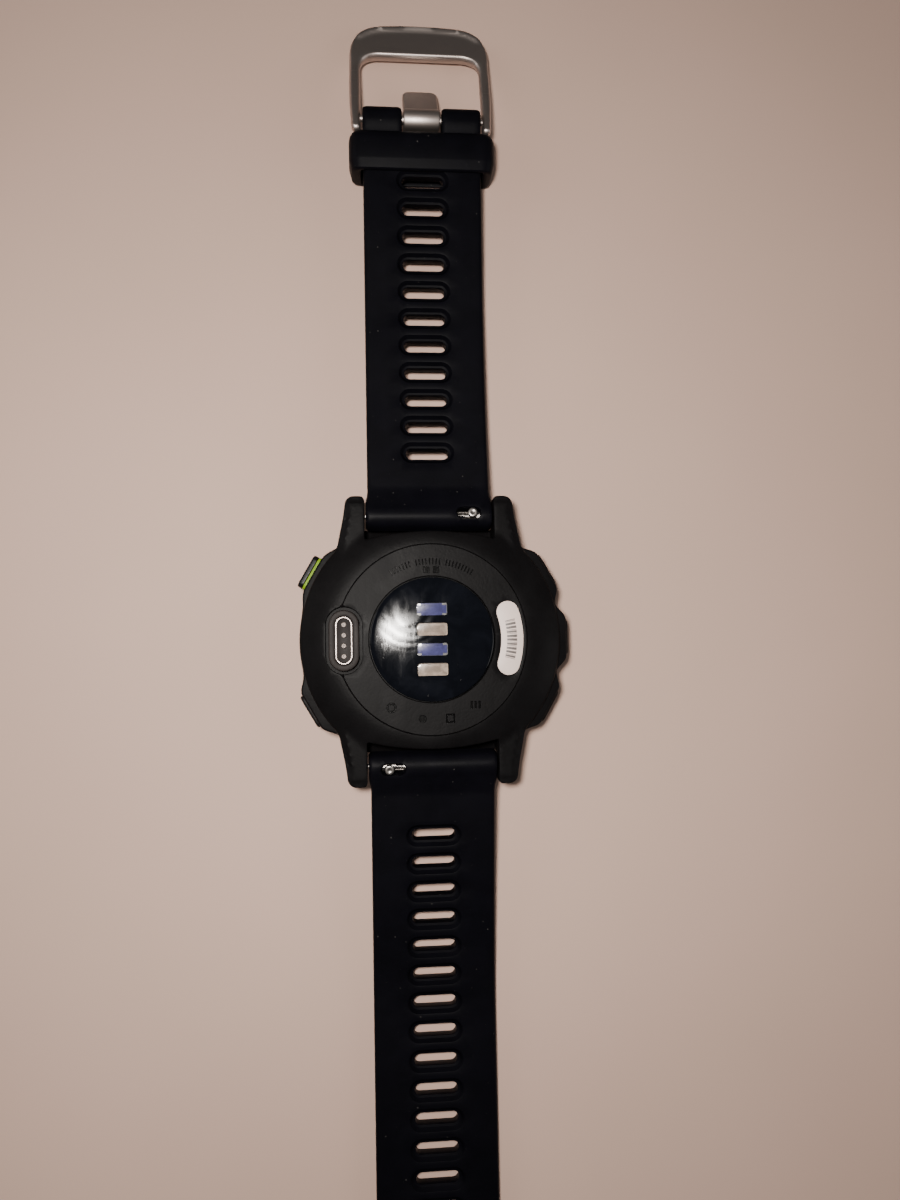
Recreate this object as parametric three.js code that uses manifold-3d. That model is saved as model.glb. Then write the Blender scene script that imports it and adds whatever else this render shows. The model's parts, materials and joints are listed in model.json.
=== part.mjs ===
// A GPS running watch lying face down with its strap laid open.
// Millimetres. The origin is the centre of the glass's outer face, which rests on the table.
// +Z comes out of the wrist side, +Y runs to the buckle strap and +X to the three-button side.
// Sub-parts, in order: case shells, glass and display, optical sensor, charging port, label,
// buttons, electronics, spring bars, the two straps, keeper and buckle.
import * as THREE from "three";
import { mergeVertices } from "three/addons/utils/BufferGeometryUtils.js";
import Module from "manifold-3d";

const wasm = await Module();
wasm.setup();

// ---------------------------------------------------------------- driving dimensions

// Case
const CASE_RADIUS = 20.7;
const CASE_WALL = 3.3;
const BEZEL_HEIGHT = 2.2;
const PARTING_Z = 7.9; // top of the mid case
const PARTING_GAP = 0.22; // shows the gasket as a thin line
const DISC_Z = 10.9; // wrist face of the raised disc
const DISC_RADIUS = 14.9;
const DISC_STEP = 0.4;
const ROOF = 1.0; // wall over the electronics
const SHOULDER_DROP = 2.1; // fall of the back from the disc's foot to the case edge
const EDGE_ROUND = 0.35;

// Lugs and spring bars
const STRAP_WIDTH = 19.6;
const LUG_CLEARANCE = 0.5; // strap to lug, each side
const LUG_THICKNESS = 3.2;
const LUG_REACH = 2.2; // past the case circle
const LUG_BACK_Z = 9.4;
const LUG_DROOP = 0.55; // fall of the lug's back towards its tip
const LUG_FRONT_RISE = 2.9; // rise of the lug's front towards its tip
const BAR_INSET = 3.1; // bar to lug tip
const BAR_Z = 7.0;
const BAR_RADIUS = 0.85;
const TIP_RADIUS = 0.42;
const TIP_REACH = 1.0; // into the lug
const BARREL_RADIUS = 2.4;
const KNOB_X = 6.9; // quick-release knob
const KNOB_TRAVEL = 1.5;
const BORE_END = 2.2; // where the spring's bore starts
const POCKET_SAG = 1.25; // bulge of the case between the lugs
const POCKET_WALL = 0.55; // electronics bay to the corners of that pocket
const FIT = 0.3; // gap left between pieces that sit in each other
const SLIP = 0.12; // running gap of a pin in its bore

// Glass and display
const GLASS_RADIUS = 15.4;
const GLASS_THICKNESS = 1.3;
const DISPLAY_RADIUS = 14.2;
const DISPLAY_THICKNESS = 1.3;

// Optical sensor
const WINDOW_RADIUS = 9.68;
const DOME_RISE = 0.65;
const CHIP_WIDTH = 4.9;
const CHIP_LENGTH = 2.0;
const CHIP_PITCH = 3.13;
const CHIP_HEIGHT = 0.4;

// Charging port
const PORT_X = -13.7;
const PORT_LENGTH = 9.5;
const PORT_WIDTH = 4.7;
const PORT_DEPTH = 1.6;
const PORT_GROOVE = 0.5;
const PORT_RIM_LENGTH = 7.6;
const PORT_RIM_WIDTH = 2.8;
const PORT_RIM_WALL = 0.4;
const CONTACT_PITCH = 1.64;
const CONTACT_RADIUS = 0.42;

// Label
const LABEL_RADIUS = 12.55;
const LABEL_WIDTH = 3.5;
const LABEL_HALF_ANGLE = 18.8;
const LABEL_THICKNESS = 0.12;

// Buttons: name, angle from +X, collar
const BUTTONS = [
  { name: "start", angle: 150, collar: true },
  { name: "back", angle: 210, collar: false },
  { name: "up", angle: 30, collar: false },
  { name: "light", angle: 0, collar: false },
  { name: "down", angle: 330, collar: false },
];
const BUTTON_LENGTH = 5.7;
const BUTTON_HEIGHT = 2.6;
const BUTTON_Z = 5.0;
const BUTTON_TRAVEL = 0.6;
const BUTTON_PROUD = 0.65;
const BOSS_PROUD = 1.15; // past the case circle
const BOSS_MARGIN = 0.75; // boss past the button's ends
const BOSS_SLOPE = 1.5; // spread of the boss's foot
const COLLAR_HEIGHT = 0.85;
const STEM_RADIUS = 0.85;
const SEAL_SECTION = 0.32;

// Electronics
const BATTERY = { x: 22, y: 15, z: 3.0 };
const BATTERY_Y = 0.6; // its middle
const BOARD_THICKNESS = 0.7;
const MOTOR_RADIUS = 3.8;
const MOTOR_HEIGHT = 2.7;
const BUZZER_RADIUS = 3.0;

// Straps
const STRAP_THICKNESS = 2.6;
const SLOT_PITCH = 4.6;
const SLOT_LENGTH = 6.9;
const SLOT_WIDTH = 1.85;
const RECESS_LENGTH = 8.6;
const RECESS_WIDTH = 3.4;
const RECESS_DEPTH = 0.7;
const SHORT_FIRST_SLOT = 10.4; // from the bar
const SHORT_PIN = 67; // bar to buckle pin
const LONG_FIRST_SLOT = 11.2;
const LONG_TAIL = 11; // last slot to the tip
const FLEX_GAP = 0.25; // between two strap segments, at rest
const FLEX_TAPER = 0.4; // extra gap on the wrist side, where a bend closes

// Each segment's slots, and its slope at rest in degrees (outward and up is positive)
const SHORT_SEGMENTS = [
  { slots: 2, slope: -8 },
  { slots: 4, slope: -2.5 },
  { slots: 5, slope: 3.5 },
];
const LONG_SEGMENTS = [
  { slots: 2, slope: -10 },
  { slots: 4, slope: -7.8 },
  { slots: 4, slope: 0 },
  { slots: 4, slope: 0 },
  { slots: 4, slope: 2.5 },
  { slots: 2, slope: 4.5 },
];

// Keeper
const KEEPER_LENGTH = 6.5;
const KEEPER_WALL = 1.15;
const KEEPER_SIDE_WALL = 2.0;
const KEEPER_LAYERS = 5.3; // room for the strap and its tail
const KEEPER_AT = 61; // bar to the keeper's middle

// Buckle
const PIN_RADIUS = 0.75;
const ARM_THICKNESS = 1.5;
const ARM_DEPTH = 2.6;
const FRAME_REACH = 18.2; // pin to the outer edge
const FRAME_BAR = 5.6;
const FRAME_FLARE = 0.35; // widening towards the outer bar, each side
const FRAME_DROOP = -14.1;
const TONGUE_WIDTH = 6.0;
const TONGUE_LENGTH = 9.2;
const TONGUE_THICKNESS = 1.3;
const TONGUE_DROOP = -31;
const KNUCKLE_RADIUS = 1.9;

// ---------------------------------------------------------------- derived places

const HALF_GAP = STRAP_WIDTH / 2 + LUG_CLEARANCE;
const LUG_TIP_Y = CASE_RADIUS + LUG_REACH;
const BAR_Y = LUG_TIP_Y - BAR_INSET;
const LUG_OUTER_X = HALF_GAP + LUG_THICKNESS;
const CAVITY_RADIUS = CASE_RADIUS - CASE_WALL;
const POCKET_Y = BAR_Y - BARREL_RADIUS - FIT - POCKET_SAG;
const BAY_HALF_Y = POCKET_Y - POCKET_WALL;
const BACK_Z = PARTING_Z + PARTING_GAP;
const WINDOW_SEAT_Z = DISC_Z - 0.6;
const CHIP_Z = WINDOW_SEAT_Z - 0.6;
const BOSS_RADIUS = CASE_RADIUS + BOSS_PROUD;
const BUTTON_WELL = BUTTON_TRAVEL + FIT + 0.6;
const BORE_RADIUS = BAR_RADIUS + SLIP;

// ---------------------------------------------------------------- shaping helpers

const degrees = THREE.MathUtils.degToRad;

function polar(radius, angle) {
  return [radius * Math.cos(degrees(angle)), radius * Math.sin(degrees(angle))];
}

function arc(radius, from, to, steps) {
  return Array.from({ length: steps + 1 }, (_, i) => {
    return polar(radius, from + ((to - from) * i) / steps);
  });
}

// A closed outline from corners [x, y, rounding], counter-clockwise.
function rounded(corners, steps = 3) {
  const points = [];
  corners.forEach(([x, y, round = 0], i) => {
    if (!round) {
      points.push([x, y]);
      return;
    }
    const before = corners.at(i - 1);
    const after = corners[(i + 1) % corners.length];
    const back = new THREE.Vector2(before[0] - x, before[1] - y);
    const ahead = new THREE.Vector2(after[0] - x, after[1] - y);
    const reach = Math.min(round, back.length() * 0.48, ahead.length() * 0.48);
    back.setLength(reach);
    ahead.setLength(reach);
    for (let k = 0; k <= steps; k += 1) {
      const t = k / steps;
      const u = 1 - t;
      points.push([x + u * u * back.x + t * t * ahead.x, y + u * u * back.y + t * t * ahead.y]);
    }
  });
  return points;
}

// The plan of the electronics bay: a circle with flats towards the two strap pockets.
function bayOutline(grow) {
  const radius = CAVITY_RADIUS + grow;
  const flat = THREE.MathUtils.radToDeg(Math.asin((BAY_HALF_Y + grow) / radius));
  return [...arc(radius, -flat, flat, 20), ...arc(radius, 180 - flat, 180 + flat, 20)];
}

function roundedBox(width, length, round, steps = 3) {
  const x = width / 2;
  const y = length / 2;
  return rounded([[x, -y, round], [x, y, round], [-x, y, round], [-x, -y, round]], steps);
}

// A slot outline with full round ends, long side along X.
function stadium(length, width, steps = 5) {
  const shift = (length - width) / 2;
  const right = arc(width / 2, -90, 90, steps).map(([x, y]) => [x + shift, y]);
  const left = arc(width / 2, 90, 270, steps).map(([x, y]) => [x - shift, y]);
  return [...right, ...left];
}

function turnedOutline(points, angle) {
  const c = Math.cos(degrees(angle));
  const s = Math.sin(degrees(angle));
  return points.map(([x, y]) => [x * c - y * s, x * s + y * c]);
}

// A body through closed loops of equally many 3D points, with its two ends capped.
// The loops run counter-clockwise as seen from the last one.
function loft(loops) {
  const count = loops[0].length;
  const index = [];
  for (let j = 0; j < loops.length - 1; j += 1) {
    for (let i = 0; i < count; i += 1) {
      const a = j * count + i;
      const b = j * count + ((i + 1) % count);
      index.push(a, b, b + count, a, b + count, a + count);
    }
  }
  const flat = loops[0].map((p) => new THREE.Vector2(p[0], p[1]));
  const top = (loops.length - 1) * count;
  for (const [a, b, c] of THREE.ShapeUtils.triangulateShape(flat, [])) {
    index.push(c, b, a, top + a, top + b, top + c);
  }
  return manifold(new Float32Array(loops.flat(2)), new Uint32Array(index));
}

// A straight body on an XY outline, from z0 to z1.
function prism(points, z0, z1) {
  return loft([z0, z1].map((z) => points.map(([x, y]) => [x, y, z])));
}

// An outline moved inwards by a distance, corner by corner.
function inset(points, distance) {
  return points.map(([x, y], i) => {
    const [px, py] = points.at(i - 1);
    const [nx, ny] = points[(i + 1) % points.length];
    const before = new THREE.Vector2(x - px, y - py).normalize();
    const after = new THREE.Vector2(nx - x, ny - y).normalize();
    const inward = new THREE.Vector2(-before.y - after.y, before.x + after.x).normalize();
    const stretch = Math.max(0.5, inward.x * -before.y + inward.y * before.x);
    return [x + (inward.x * distance) / stretch, y + (inward.y * distance) / stretch];
  });
}

// A straight body whose two end edges are rounded over.
function softPrism(points, z0, z1, round, steps = 2) {
  const loops = [];
  for (const [z, side] of [[z0, 1], [z1, -1]]) {
    for (let i = 0; i <= steps; i += 1) {
      const a = degrees((90 * (side > 0 ? i : steps - i)) / steps);
      const loop = inset(points, round * (1 - Math.sin(a)));
      loops.push(loop.map(([x, y]) => [x, y, z + side * round * (1 - Math.cos(a))]));
    }
  }
  return loft(loops);
}

// A body of revolution about Z from [radius, z] points that start and end on the axis or close.
function turnedBody(profile, segments = 32) {
  const points = profile.map(([r, z]) => new THREE.Vector2(r, z));
  return solid(new THREE.LatheGeometry(points, segments).rotateX(Math.PI / 2));
}

function disc(radius, z0, z1, segments = 32) {
  return turnedBody([[0, z0], [radius, z0], [radius, z1], [0, z1]], segments);
}

function ring(inner, outer, z0, z1, segments = 32) {
  return turnedBody([[inner, z0], [outer, z0], [outer, z1], [inner, z1], [inner, z0]], segments);
}

// A round bar along X between x0 and x1.
function barX(radius, x0, x1, segments = 12) {
  const geometry = new THREE.CylinderGeometry(radius, radius, x1 - x0, segments);
  return solid(geometry.rotateZ(-Math.PI / 2).translate((x0 + x1) / 2, 0, 0));
}

function box(x0, x1, y0, y1, z0, z1) {
  return prism([[x0, y0], [x1, y0], [x1, y1], [x0, y1]], z0, z1);
}

// A body on a [y, z] side profile, running across from x0 to x1.
function across(profile, x0, x1) {
  const shape = new THREE.Shape(profile.map(([y, z]) => new THREE.Vector2(y, z)));
  const geometry = new THREE.ExtrudeGeometry(shape, { depth: x1 - x0, bevelEnabled: false });
  const turn = new THREE.Matrix4().makeBasis(
    new THREE.Vector3(0, 1, 0),
    new THREE.Vector3(0, 0, 1),
    new THREE.Vector3(1, 0, 0),
  );
  return solid(geometry.applyMatrix4(turn).translate(x0, 0, 0));
}

function manifold(vertProperties, triVerts) {
  return new wasm.Manifold(new wasm.Mesh({ numProp: 3, vertProperties, triVerts }));
}

// A closed three.js geometry as a solid that can be joined and cut.
function solid(geometry) {
  const bare = geometry.index ? geometry.toNonIndexed() : geometry;
  bare.deleteAttribute("normal");
  bare.deleteAttribute("uv");
  const merged = mergeVertices(bare, 1e-4);
  return manifold(merged.attributes.position.array, new Uint32Array(merged.index.array));
}

function union(parts) {
  return parts.reduce((all, part) => all.add(part));
}

// ---------------------------------------------------------------- materials

function finish(color, roughness, metalness = 0) {
  return new THREE.MeshStandardMaterial({ color, roughness, metalness });
}

const polymer = finish(0x2b282a, 0.62);
const silicone = finish(0x0f1318, 0.55);
const glass = finish(0x08090c, 0.06);
const steel = finish(0x9a9088, 0.32, 1);
const lime = finish(0x7d9628, 0.4);
const labelWhite = finish(0xd9cfc6, 0.6);
const ledCream = finish(0xcfc4a8, 0.3);
const diodeViolet = finish(0x3c3f8f, 0.25);
const circuitGreen = finish(0x1c4a2c, 0.5);
const copper = finish(0xb87333, 0.35, 1);
const cellSilver = finish(0x8e9196, 0.4, 0.8);
const rubber = finish(0x141414, 0.85);
const displayGrey = finish(0x3d443f, 0.4);

const watch = new THREE.Group();
watch.name = "gps_running_watch";

function add(name, body, material, parent = watch) {
  const mesh = body.getMesh();
  const geometry = new THREE.BufferGeometry();
  geometry.setAttribute("position", new THREE.BufferAttribute(mesh.vertProperties, 3));
  geometry.setIndex(new THREE.BufferAttribute(mesh.triVerts, 1));
  geometry.computeVertexNormals();
  const node = new THREE.Mesh(geometry, material);
  node.name = name;
  parent.add(node);
  return node;
}

function group(parent, x, y, z) {
  const made = new THREE.Group();
  made.position.set(x, y, z);
  parent.add(made);
  return made;
}

// ---------------------------------------------------------------- case shells

// The outline of one lug on the +X +Y quarter, from its foot inside the case to its tip.
function lugOutline() {
  const foot = CASE_RADIUS * 0.55;
  return rounded([
    [HALF_GAP, foot],
    [LUG_OUTER_X + 1.4, foot],
    [LUG_OUTER_X + 0.95, CASE_RADIUS * 0.72, 1.2],
    [LUG_OUTER_X + 0.1, LUG_TIP_Y - 3, 1.5],
    [LUG_OUTER_X - 0.25, LUG_TIP_Y, 2.6],
    [HALF_GAP, LUG_TIP_Y, 0.8],
  ]);
}

function mirrored(points, flipX, flipY) {
  const flipped = points.map(([x, y]) => [x * flipX, y * flipY]);
  return flipX * flipY < 0 ? flipped.reverse() : flipped;
}

const QUARTERS = [[1, 1], [-1, 1], [-1, -1], [1, -1]];

// What the strap roots need free: the gap between the lugs, with a bulging wall on the case side.
function pocketCutter(side) {
  const far = LUG_TIP_Y + 5;
  const steps = 12;
  const wall = Array.from({ length: steps + 1 }, (_, i) => {
    const t = 1 - (2 * i) / steps;
    return [HALF_GAP * t, POCKET_Y + POCKET_SAG * (1 - t * t)];
  });
  const outline = [[-HALF_GAP, far], ...wall.reverse(), [HALF_GAP, far]];
  return prism(side > 0 ? outline : mirrored(outline, 1, -1), -5, DISC_Z + 5);
}

// Under the lugs the front of the mid case rises towards the tips.
function frontRamp(side) {
  const near = CASE_RADIUS * 0.78;
  const far = LUG_TIP_Y + 2;
  const rise = BEZEL_HEIGHT + LUG_FRONT_RISE * ((far - near) / (LUG_TIP_Y - near));
  const below = BEZEL_HEIGHT - 1;
  const profile = [[near, below], [far, below], [far, rise], [near, BEZEL_HEIGHT]];
  const wedge = across(profile, -CASE_RADIUS * 2, CASE_RADIUS * 2);
  return side > 0 ? wedge : wedge.rotate([0, 0, 180]);
}

function bossOutline(angle, radius) {
  const top = BUTTON_LENGTH / 2 + BOSS_MARGIN;
  const foot = top + BOSS_SLOPE;
  const inner = CASE_RADIUS - 4;
  const outline = rounded([
    [inner, -foot - 1],
    [CASE_RADIUS - 0.7, -foot, 1.1],
    [radius, -top, 0.9],
    [radius, top, 0.9],
    [CASE_RADIUS - 0.7, foot, 1.1],
    [inner, foot + 1],
  ]);
  return turnedOutline(outline, angle);
}

function bossRadius(button) {
  return button.collar ? BOSS_RADIUS - 0.5 : BOSS_RADIUS;
}

// The well that a button cap sinks into, and the bore of its stem with the seal's seat.
function buttonCutter(button) {
  const reach = bossRadius(button);
  const well = reach - BUTTON_WELL;
  const cap = roundedBox(BUTTON_HEIGHT + 2 * FIT, BUTTON_LENGTH + 2 * FIT, 1.0);
  const pocket = prism(cap, well, reach + 3);
  const seat = disc(STEM_RADIUS + SLIP + SEAL_SECTION * 2, well - 1.1, well + 0.1, 12);
  const bore = disc(STEM_RADIUS + SLIP, CAVITY_RADIUS - 1, well, 12);
  const cutter = union([pocket, seat, bore]).rotate([0, 90, 0]);
  return cutter.rotate([0, 0, button.angle]).translate([0, 0, BUTTON_Z]);
}

function tipBores() {
  const reach = HALF_GAP + TIP_REACH + 0.4;
  const bore = barX(TIP_RADIUS + SLIP, -reach, reach, 12);
  return union([BAR_Y, -BAR_Y].map((y) => bore.translate([0, y, BAR_Z])));
}

function midCase() {
  const round = EDGE_ROUND;
  let body = turnedBody([
    [0, BEZEL_HEIGHT],
    [CASE_RADIUS - 0.9, BEZEL_HEIGHT],
    [CASE_RADIUS - 0.25, BEZEL_HEIGHT + 0.9],
    [CASE_RADIUS, BEZEL_HEIGHT + 2.2],
    [CASE_RADIUS, PARTING_Z - round],
    [CASE_RADIUS - round, PARTING_Z],
    [0, PARTING_Z],
  ], 64);
  for (const [x, y] of QUARTERS) {
    body = body.add(softPrism(mirrored(lugOutline(), x, y), BEZEL_HEIGHT, PARTING_Z, round));
  }
  for (const button of BUTTONS) {
    const outline = bossOutline(button.angle, bossRadius(button));
    body = body.add(softPrism(outline, BEZEL_HEIGHT + 0.5, PARTING_Z - 0.1, round));
  }
  const flange = BEZEL_HEIGHT + 1;
  const cuts = [
    prism(bayOutline(0), flange, PARTING_Z + 1),
    disc(GLASS_RADIUS - 0.5, 0, flange + 1, 48),
    pocketCutter(1),
    pocketCutter(-1),
    frontRamp(1),
    frontRamp(-1),
    tipBores(),
    ...BUTTONS.map(buttonCutter),
  ];
  return body.subtract(union(cuts));
}

// A lug's back: a flat facet that falls a little towards the tip, over a sloped end face.
function lugBack(x, y) {
  const outline = mirrored(lugOutline(), x, y);
  const block = softPrism(outline, BACK_Z, LUG_BACK_Z + 1, EDGE_ROUND);
  const foot = CASE_RADIUS * 0.55;
  const bend = LUG_TIP_Y - 1.1;
  const facet = across([
    [foot - 1, BACK_Z - 1],
    [LUG_TIP_Y + 1, BACK_Z - 1],
    [LUG_TIP_Y + 1, BACK_Z - 0.2],
    [bend, LUG_BACK_Z - LUG_DROOP],
    [foot - 1, LUG_BACK_Z + 0.1],
  ], -CASE_RADIUS * 2, CASE_RADIUS * 2);
  return block.intersect(y > 0 ? facet : facet.rotate([0, 0, 180]));
}

function backShoulder() {
  const foot = DISC_Z - DISC_STEP;
  const steps = 6;
  const inner = DISC_RADIUS + 0.15;
  const points = [[0, BACK_Z], [CASE_RADIUS - 0.1, BACK_Z]];
  for (let i = 0; i <= steps; i += 1) {
    const t = i / steps;
    const edge = CASE_RADIUS - 0.1 - t * (CASE_RADIUS - 0.1 - inner);
    points.push([edge, foot - SHOULDER_DROP * (1 - t) ** 1.7 + (i === 0 ? 0.25 : 0)]);
  }
  return turnedBody([...points, [DISC_RADIUS, DISC_Z - 0.1], [DISC_RADIUS - 0.1, DISC_Z], [0, DISC_Z]], 64);
}

function portPlace(body) {
  return body.rotate([0, 0, 90]).translate([PORT_X, 0, 0]);
}

function labelOutline(grow) {
  const half = LABEL_WIDTH / 2 + grow;
  const steps = 10;
  const cap = 6;
  const turn = LABEL_HALF_ANGLE;
  const ends = [turn, -turn].map((angle, side) => {
    const [x, y] = polar(LABEL_RADIUS, angle);
    const start = side === 0 ? angle : angle + 180;
    return arc(half, start, start + 180, cap).map(([u, v]) => [x + u, y + v]);
  });
  const outer = arc(LABEL_RADIUS + half, -turn, turn, steps).slice(1, -1);
  const inner = arc(LABEL_RADIUS - half, turn, -turn, steps).slice(1, -1);
  return [...outer, ...ends[0], ...inner, ...ends[1]];
}

function backCase() {
  let body = backShoulder();
  for (const [x, y] of QUARTERS) body = body.add(lugBack(x, y));
  const roof = DISC_Z - ROOF;
  const opening = stadium(PORT_LENGTH + 2 * PORT_GROOVE, PORT_WIDTH + 2 * PORT_GROOVE);
  const cuts = [
    prism(bayOutline(0), BACK_Z - 1, BACK_Z + 0.6),
    disc(DISC_RADIUS - 3.4, BACK_Z - 1, roof, 48),
    disc(WINDOW_RADIUS + 0.12, WINDOW_SEAT_Z, DISC_Z + 1, 48),
    disc(WINDOW_RADIUS - 0.9, roof - 0.5, DISC_Z, 48),
    portPlace(prism(opening, DISC_Z - PORT_DEPTH, DISC_Z + 1)),
    prism(labelOutline(0.12), DISC_Z - LABEL_THICKNESS, DISC_Z + 1),
    pocketCutter(1),
    pocketCutter(-1),
  ];
  return body.subtract(union(cuts));
}

function bezel() {
  const inner = GLASS_RADIUS + 0.15;
  const outer = CASE_RADIUS - 1.0;
  return turnedBody([
    [inner, 0.1],
    [inner + 0.15, 0],
    [outer - 1.2, 0.05],
    [outer - 0.4, 0.5],
    [outer, 1.3],
    [outer, BEZEL_HEIGHT],
    [inner, BEZEL_HEIGHT],
    [inner, 0.1],
  ], 48);
}

function addCase() {
  add("mid_case", midCase(), polymer);
  add("back_case", backCase(), polymer);
  add("bezel", bezel(), polymer);
  const gasket = prism(bayOutline(0.75), PARTING_Z, BACK_Z).subtract(prism(bayOutline(0.25), 0, DISC_Z));
  add("case_gasket", gasket, rubber);
}

// ---------------------------------------------------------------- glass, display, sensor

function addGlass() {
  const r = GLASS_RADIUS;
  const t = GLASS_THICKNESS;
  add("front_glass", turnedBody([[0, 0], [r - 0.2, 0], [r, 0.2], [r, t], [0, t]], 48), glass);
  add("glass_gasket", ring(r - 0.45, r - 0.1, t, BEZEL_HEIGHT), rubber);
  add("display_module", disc(DISPLAY_RADIUS, t + FIT, t + FIT + DISPLAY_THICKNESS), displayGrey);
}

function addSensor() {
  const r = WINDOW_RADIUS;
  const dome = [];
  const steps = 5;
  for (let i = 0; i <= steps; i += 1) {
    const t = 1 - i / steps;
    dome.push([r * t, DISC_Z + 0.05 + DOME_RISE * (1 - t * t)]);
  }
  add("sensor_window", turnedBody([[0, WINDOW_SEAT_Z], [r, WINDOW_SEAT_Z], ...dome], 48), glass);
  const top = CHIP_Z + CHIP_HEIGHT;
  const chips = ["photodiode_upper", "led_upper", "photodiode_lower", "led_lower"];
  chips.forEach((name, i) => {
    const y = (1.5 - i) * CHIP_PITCH;
    const outline = roundedBox(CHIP_WIDTH, CHIP_LENGTH, 0.3, 2).map(([u, v]) => [u, v + y]);
    add(name, prism(outline, CHIP_Z, top), i % 2 ? ledCream : diodeViolet);
  });
  add("sensor_board", disc(WINDOW_RADIUS - 1.2, CHIP_Z - BOARD_THICKNESS, CHIP_Z), circuitGreen);
}

// ---------------------------------------------------------------- charging port and label

function addPort() {
  const floor = DISC_Z - PORT_DEPTH;
  const top = DISC_Z - 0.3;
  const rimSeat = top - 0.35;
  const panel = prism(stadium(PORT_LENGTH, PORT_WIDTH), floor, top);
  const rimOuter = stadium(PORT_RIM_LENGTH, PORT_RIM_WIDTH);
  const rimInner = stadium(PORT_RIM_LENGTH - 2 * PORT_RIM_WALL, PORT_RIM_WIDTH - 2 * PORT_RIM_WALL);
  const rimSlot = prism(stadium(PORT_RIM_LENGTH + 0.1, PORT_RIM_WIDTH + 0.1), rimSeat, DISC_Z);
  const contactY = [1.5, 0.5, -0.5, -1.5].map((k) => k * CONTACT_PITCH);
  const bore = disc(CONTACT_RADIUS + 0.05, floor + 0.4, DISC_Z, 12);
  const bores = union(contactY.map((y) => bore.translate([y, 0, 0])));
  add("charge_port", portPlace(panel.subtract(rimSlot).subtract(bores)), polymer);
  const rim = prism(rimOuter, rimSeat, top + 0.12).subtract(prism(rimInner, rimSeat - 1, DISC_Z + 1));
  add("port_rim", portPlace(rim), steel);
  contactY.forEach((y, i) => {
    const pin = disc(CONTACT_RADIUS, floor + 0.45, rimSeat + 0.2, 12).translate([PORT_X, y, 0]);
    add("charge_contact_" + (i + 1), pin, steel);
  });
  add("serial_label", prism(labelOutline(0), DISC_Z - LABEL_THICKNESS, DISC_Z + 0.02), labelWhite);
}

// ---------------------------------------------------------------- buttons

function addButton(button) {
  const holder = group(watch, 0, 0, BUTTON_Z);
  holder.rotation.z = degrees(button.angle);
  const reach = bossRadius(button);
  const back = reach - BUTTON_WELL + BUTTON_TRAVEL + 0.15;
  const proud = BUTTON_PROUD + (button.collar ? COLLAR_HEIGHT : 0);
  const outline = roundedBox(BUTTON_HEIGHT, BUTTON_LENGTH, 0.9);
  const cap = softPrism(outline, back, reach + proud, 0.3, 1);
  const stem = disc(STEM_RADIUS, CAVITY_RADIUS - 0.35, back + 0.2, 12);
  let body = cap.add(stem);
  if (button.collar) {
    const neck = roundedBox(BUTTON_HEIGHT - 1, BUTTON_LENGTH - 1, 0.6);
    const groove = prism(roundedBox(9, 9, 0), reach - 0.1, reach + COLLAR_HEIGHT);
    body = body.subtract(groove.subtract(prism(neck, reach - 1, reach + 2)));
    const hole = prism(roundedBox(BUTTON_HEIGHT - 0.9, BUTTON_LENGTH - 0.9, 0.6), 0, reach + 3);
    const band = softPrism(outline, reach - 0.05, reach + COLLAR_HEIGHT - 0.05, 0.12, 1).subtract(hole);
    add(button.name + "_button_collar", band.rotate([0, 90, 0]), lime, holder);
  }
  add(button.name + "_button", body.rotate([0, 90, 0]), polymer, holder);
  const well = reach - BUTTON_WELL;
  const sealInner = STEM_RADIUS + 0.05;
  const seal = ring(sealInner, sealInner + SEAL_SECTION * 1.7, well - 0.95, well - 0.15, 12);
  add(button.name + "_button_seal", seal.rotate([0, 90, 0]), rubber, holder);
}

// ---------------------------------------------------------------- electronics

// A band of the cavity wall between two angles.
function wallBand(inner, outer, from, to, z0, z1, steps = 10) {
  return prism([...arc(outer, from, to, steps), ...arc(inner, to, from, steps)], z0, z1);
}

function buttonFlex(angles) {
  const inner = CAVITY_RADIUS - 1.5;
  const outer = inner + 0.3;
  const low = Math.min(...angles) - 12;
  const high = Math.max(...angles) + 12;
  const band = wallBand(inner, outer, low, high, BUTTON_Z - 1.1, BUTTON_Z + 1.1);
  const dome = disc(0.8, outer - 0.15, outer + 0.15, 12).rotate([0, 90, 0]);
  return union([band, ...angles.map((angle) => dome.rotate([0, 0, angle]).translate([0, 0, BUTTON_Z]))]);
}

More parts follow.
